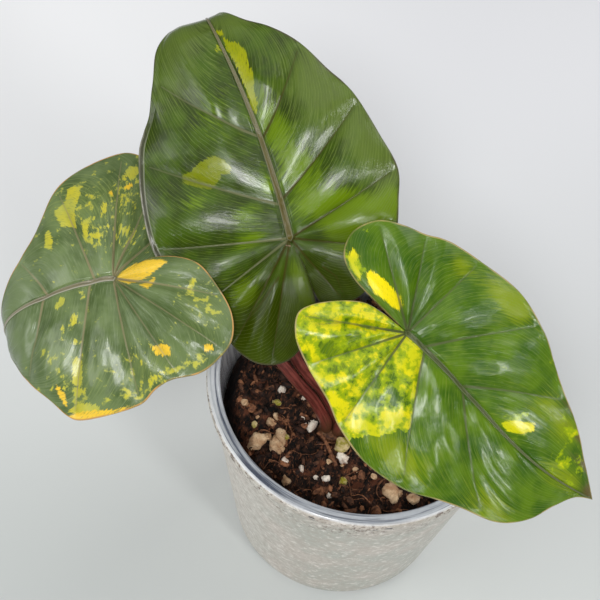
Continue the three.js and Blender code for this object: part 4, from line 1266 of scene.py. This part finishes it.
def litter_piece(material):
    """Bark chips, the twig and curled root fibres that lie on the peat."""
    random = np.random.default_rng(7)
    heap = Heap()
    for x, y in scatter(CHIPS, seed=12, inner=0, outer=36.8, keep_clear=5.5):
        length = 0.8 + 2.6 * random.random() ** 2
        size = (length, length * (0.35 + 0.4 * random.random()), 0.6 + 0.7 * random.random())
        z = float(soil_height(np.array(x), np.array(y))) + 0.3
        heap.add(stone(random, size, (x, y, z), CHIP_STEPS), random.random())

    twig = catmull(TWIG, np.linspace(0, len(TWIG) - 1, TWIG_STEPS))
    level = soil_height(*twig.T).max() + 0.1
    path = np.column_stack([twig, np.full(TWIG_STEPS, level)])
    twig = closed_tube(path, lambda share, angles: TWIG_RADIUS + 0.06 * np.cos(3 * angles), TWIG_SIDES)
    heap.add(twig, 0.8)

    for x, y in scatter(FIBRES, seed=14, inner=0, outer=36, keep_clear=6):
        heading = random.random() * 2 * math.pi
        step = (3 + 8 * random.random()) / FIBRE_STEPS
        steps = np.linspace(0, 1, FIBRE_STEPS)
        turn = heading + random.normal() * 1.2 * steps + 0.5 * np.sin(5 * steps + random.random() * 6)
        line = np.array([x + np.cumsum(np.cos(turn)) * step, y + np.cumsum(np.sin(turn)) * step])
        line = line[:, np.hypot(*line) < LITTER_REACH]
        if line.shape[1] < SHORTEST_FIBRE:
            continue
        z = soil_height(*line) + 0.45 + 0.5 * np.sin(np.linspace(0, math.pi, line.shape[1]))
        radii = (0.12 + 0.16 * random.random()) * np.ones(FIBRE_SIDES)
        path = np.stack([*line, z], -1)
        fibre = closed_tube(path, lambda share, angles: radii * (1 - 0.5 * share), FIBRE_SIDES)
        heap.add(fibre, 0.6 + 0.4 * random.random())
    heap.piece("bark_litter", material)


def litter_material():
    """Red-brown bark and fibre, each bit a little different."""
    shader = Shader("bark_litter", specular_ior_level=0.3)
    mix, step = shader.mix, shader.step
    grain = shader.noise(shader.place(), (900.0, 900.0, 1500.0), 4)
    dark = mix((22, 13, 10), (62, 36, 25), step(grain, 0.35, 0.65))
    light = mix((90, 55, 38), (152, 102, 70), step(grain, 0.35, 0.65))
    colour = mix(dark, light, step(shader.attribute("tone"), 0.35, 0.95))
    return shader.done(colour, 0.8, grain, 0.7, 0.3)


# Surroundings
def floor_stage():
    """Pale studio floor, brighter away from the camera as in the photograph."""
    shader = Shader("studio_floor", specular_ior_level=0.1)
    x, y, _ = shader.parts(shader.place())
    # Painted light: the floor is brighter away from the camera, and brighter still to the left at the back.
    depth = shader.step(y, -0.06, 0.24)
    colour = shader.mix((196, 200, 198), (226, 227, 230), depth)
    colour = shader.mix(colour, (246, 247, 248), shader.step(x, 0.02, -0.2), depth)
    shader.set("Base Color", colour)
    shader.set("Roughness", 0.8)
    signs = ((-1, -1), (1, -1), (1, 1), (-1, 1))
    corners = [(x * FLOOR_REACH, y * FLOOR_REACH, FLOOR_LEVEL) for x, y in signs]
    mesh = bpy.data.meshes.new("studio_floor")
    mesh.from_pydata([tuple(v * MM for v in c) for c in corners], [], [(0, 1, 2, 3)])
    mesh.materials.append(shader.material)
    floor = bpy.data.objects.new("studio_floor", mesh)
    bpy.context.scene.collection.objects.link(floor)


def area_light(name, place_m, size_m, power, colour):
    """Rectangular lamp turned to the plant."""
    light = bpy.data.lights.new(name, "AREA")
    light.shape = "RECTANGLE"
    light.size, light.size_y = size_m
    light.energy = power
    light.color = colour
    lamp = bpy.data.objects.new(name, light)
    lamp.location = place_m
    lamp.rotation_euler = (Vector(LIGHT_TARGET) - Vector(place_m)).to_track_quat("-Z", "Y").to_euler()
    bpy.context.scene.collection.objects.link(lamp)


def light_and_camera():
    """Soft lights round the plant and the photograph's camera."""
    world = bpy.data.worlds.new("studio")
    world.use_nodes = True
    background = world.node_tree.nodes["Background"]
    background.inputs[0].default_value = SKY_COLOUR
    background.inputs[1].default_value = SKY_STRENGTH
    bpy.context.scene.world = world
    bpy.context.scene.view_settings.view_transform = "Standard"
    for name, settings in LIGHTS.items():
        area_light(name, *settings)

    pitch, yaw, roll = (math.radians(v) for v in (CAMERA_PITCH, CAMERA_YAW, CAMERA_ROLL))
    ahead = Vector((math.sin(yaw) * math.cos(pitch), math.cos(yaw) * math.cos(pitch), -math.sin(pitch)))
    level = Vector((math.cos(yaw), -math.sin(yaw), 0))
    above = level.cross(ahead)
    right = level * math.cos(roll) + above * math.sin(roll)
    up = above * math.cos(roll) - level * math.sin(roll)
    data = bpy.data.cameras.new("camera")
    data.lens = CAMERA_LENS
    data.sensor_width = SENSOR_WIDTH
    data.clip_start = 0.01
    camera = bpy.data.objects.new("camera", data)
    turn = Matrix((right, up, -ahead)).transposed()
    camera.matrix_world = Matrix.Translation(Vector(CAMERA_PLACE) * MM) @ turn.to_4x4()
    bpy.context.scene.collection.objects.link(camera)
    bpy.context.scene.camera = camera


def build():
    light_and_camera()
    floor_stage()
    pot_piece(pot_material())
    soil_piece(soil_material())
    stones_piece(stones_material())
    litter_piece(litter_material())
    crown_piece(crown_material())
    stalk_skin = petiole_material()
    slots = {"back": "leaf_green", "right": "leaf_marbled", "left": "leaf_grey_green"}
    for name, slot in slots.items():
        petiole_piece(name, stalk_skin)
        blade_piece(name, leaf_material(f"leaf_{name}_tissue", LOOKS[name]))


build()
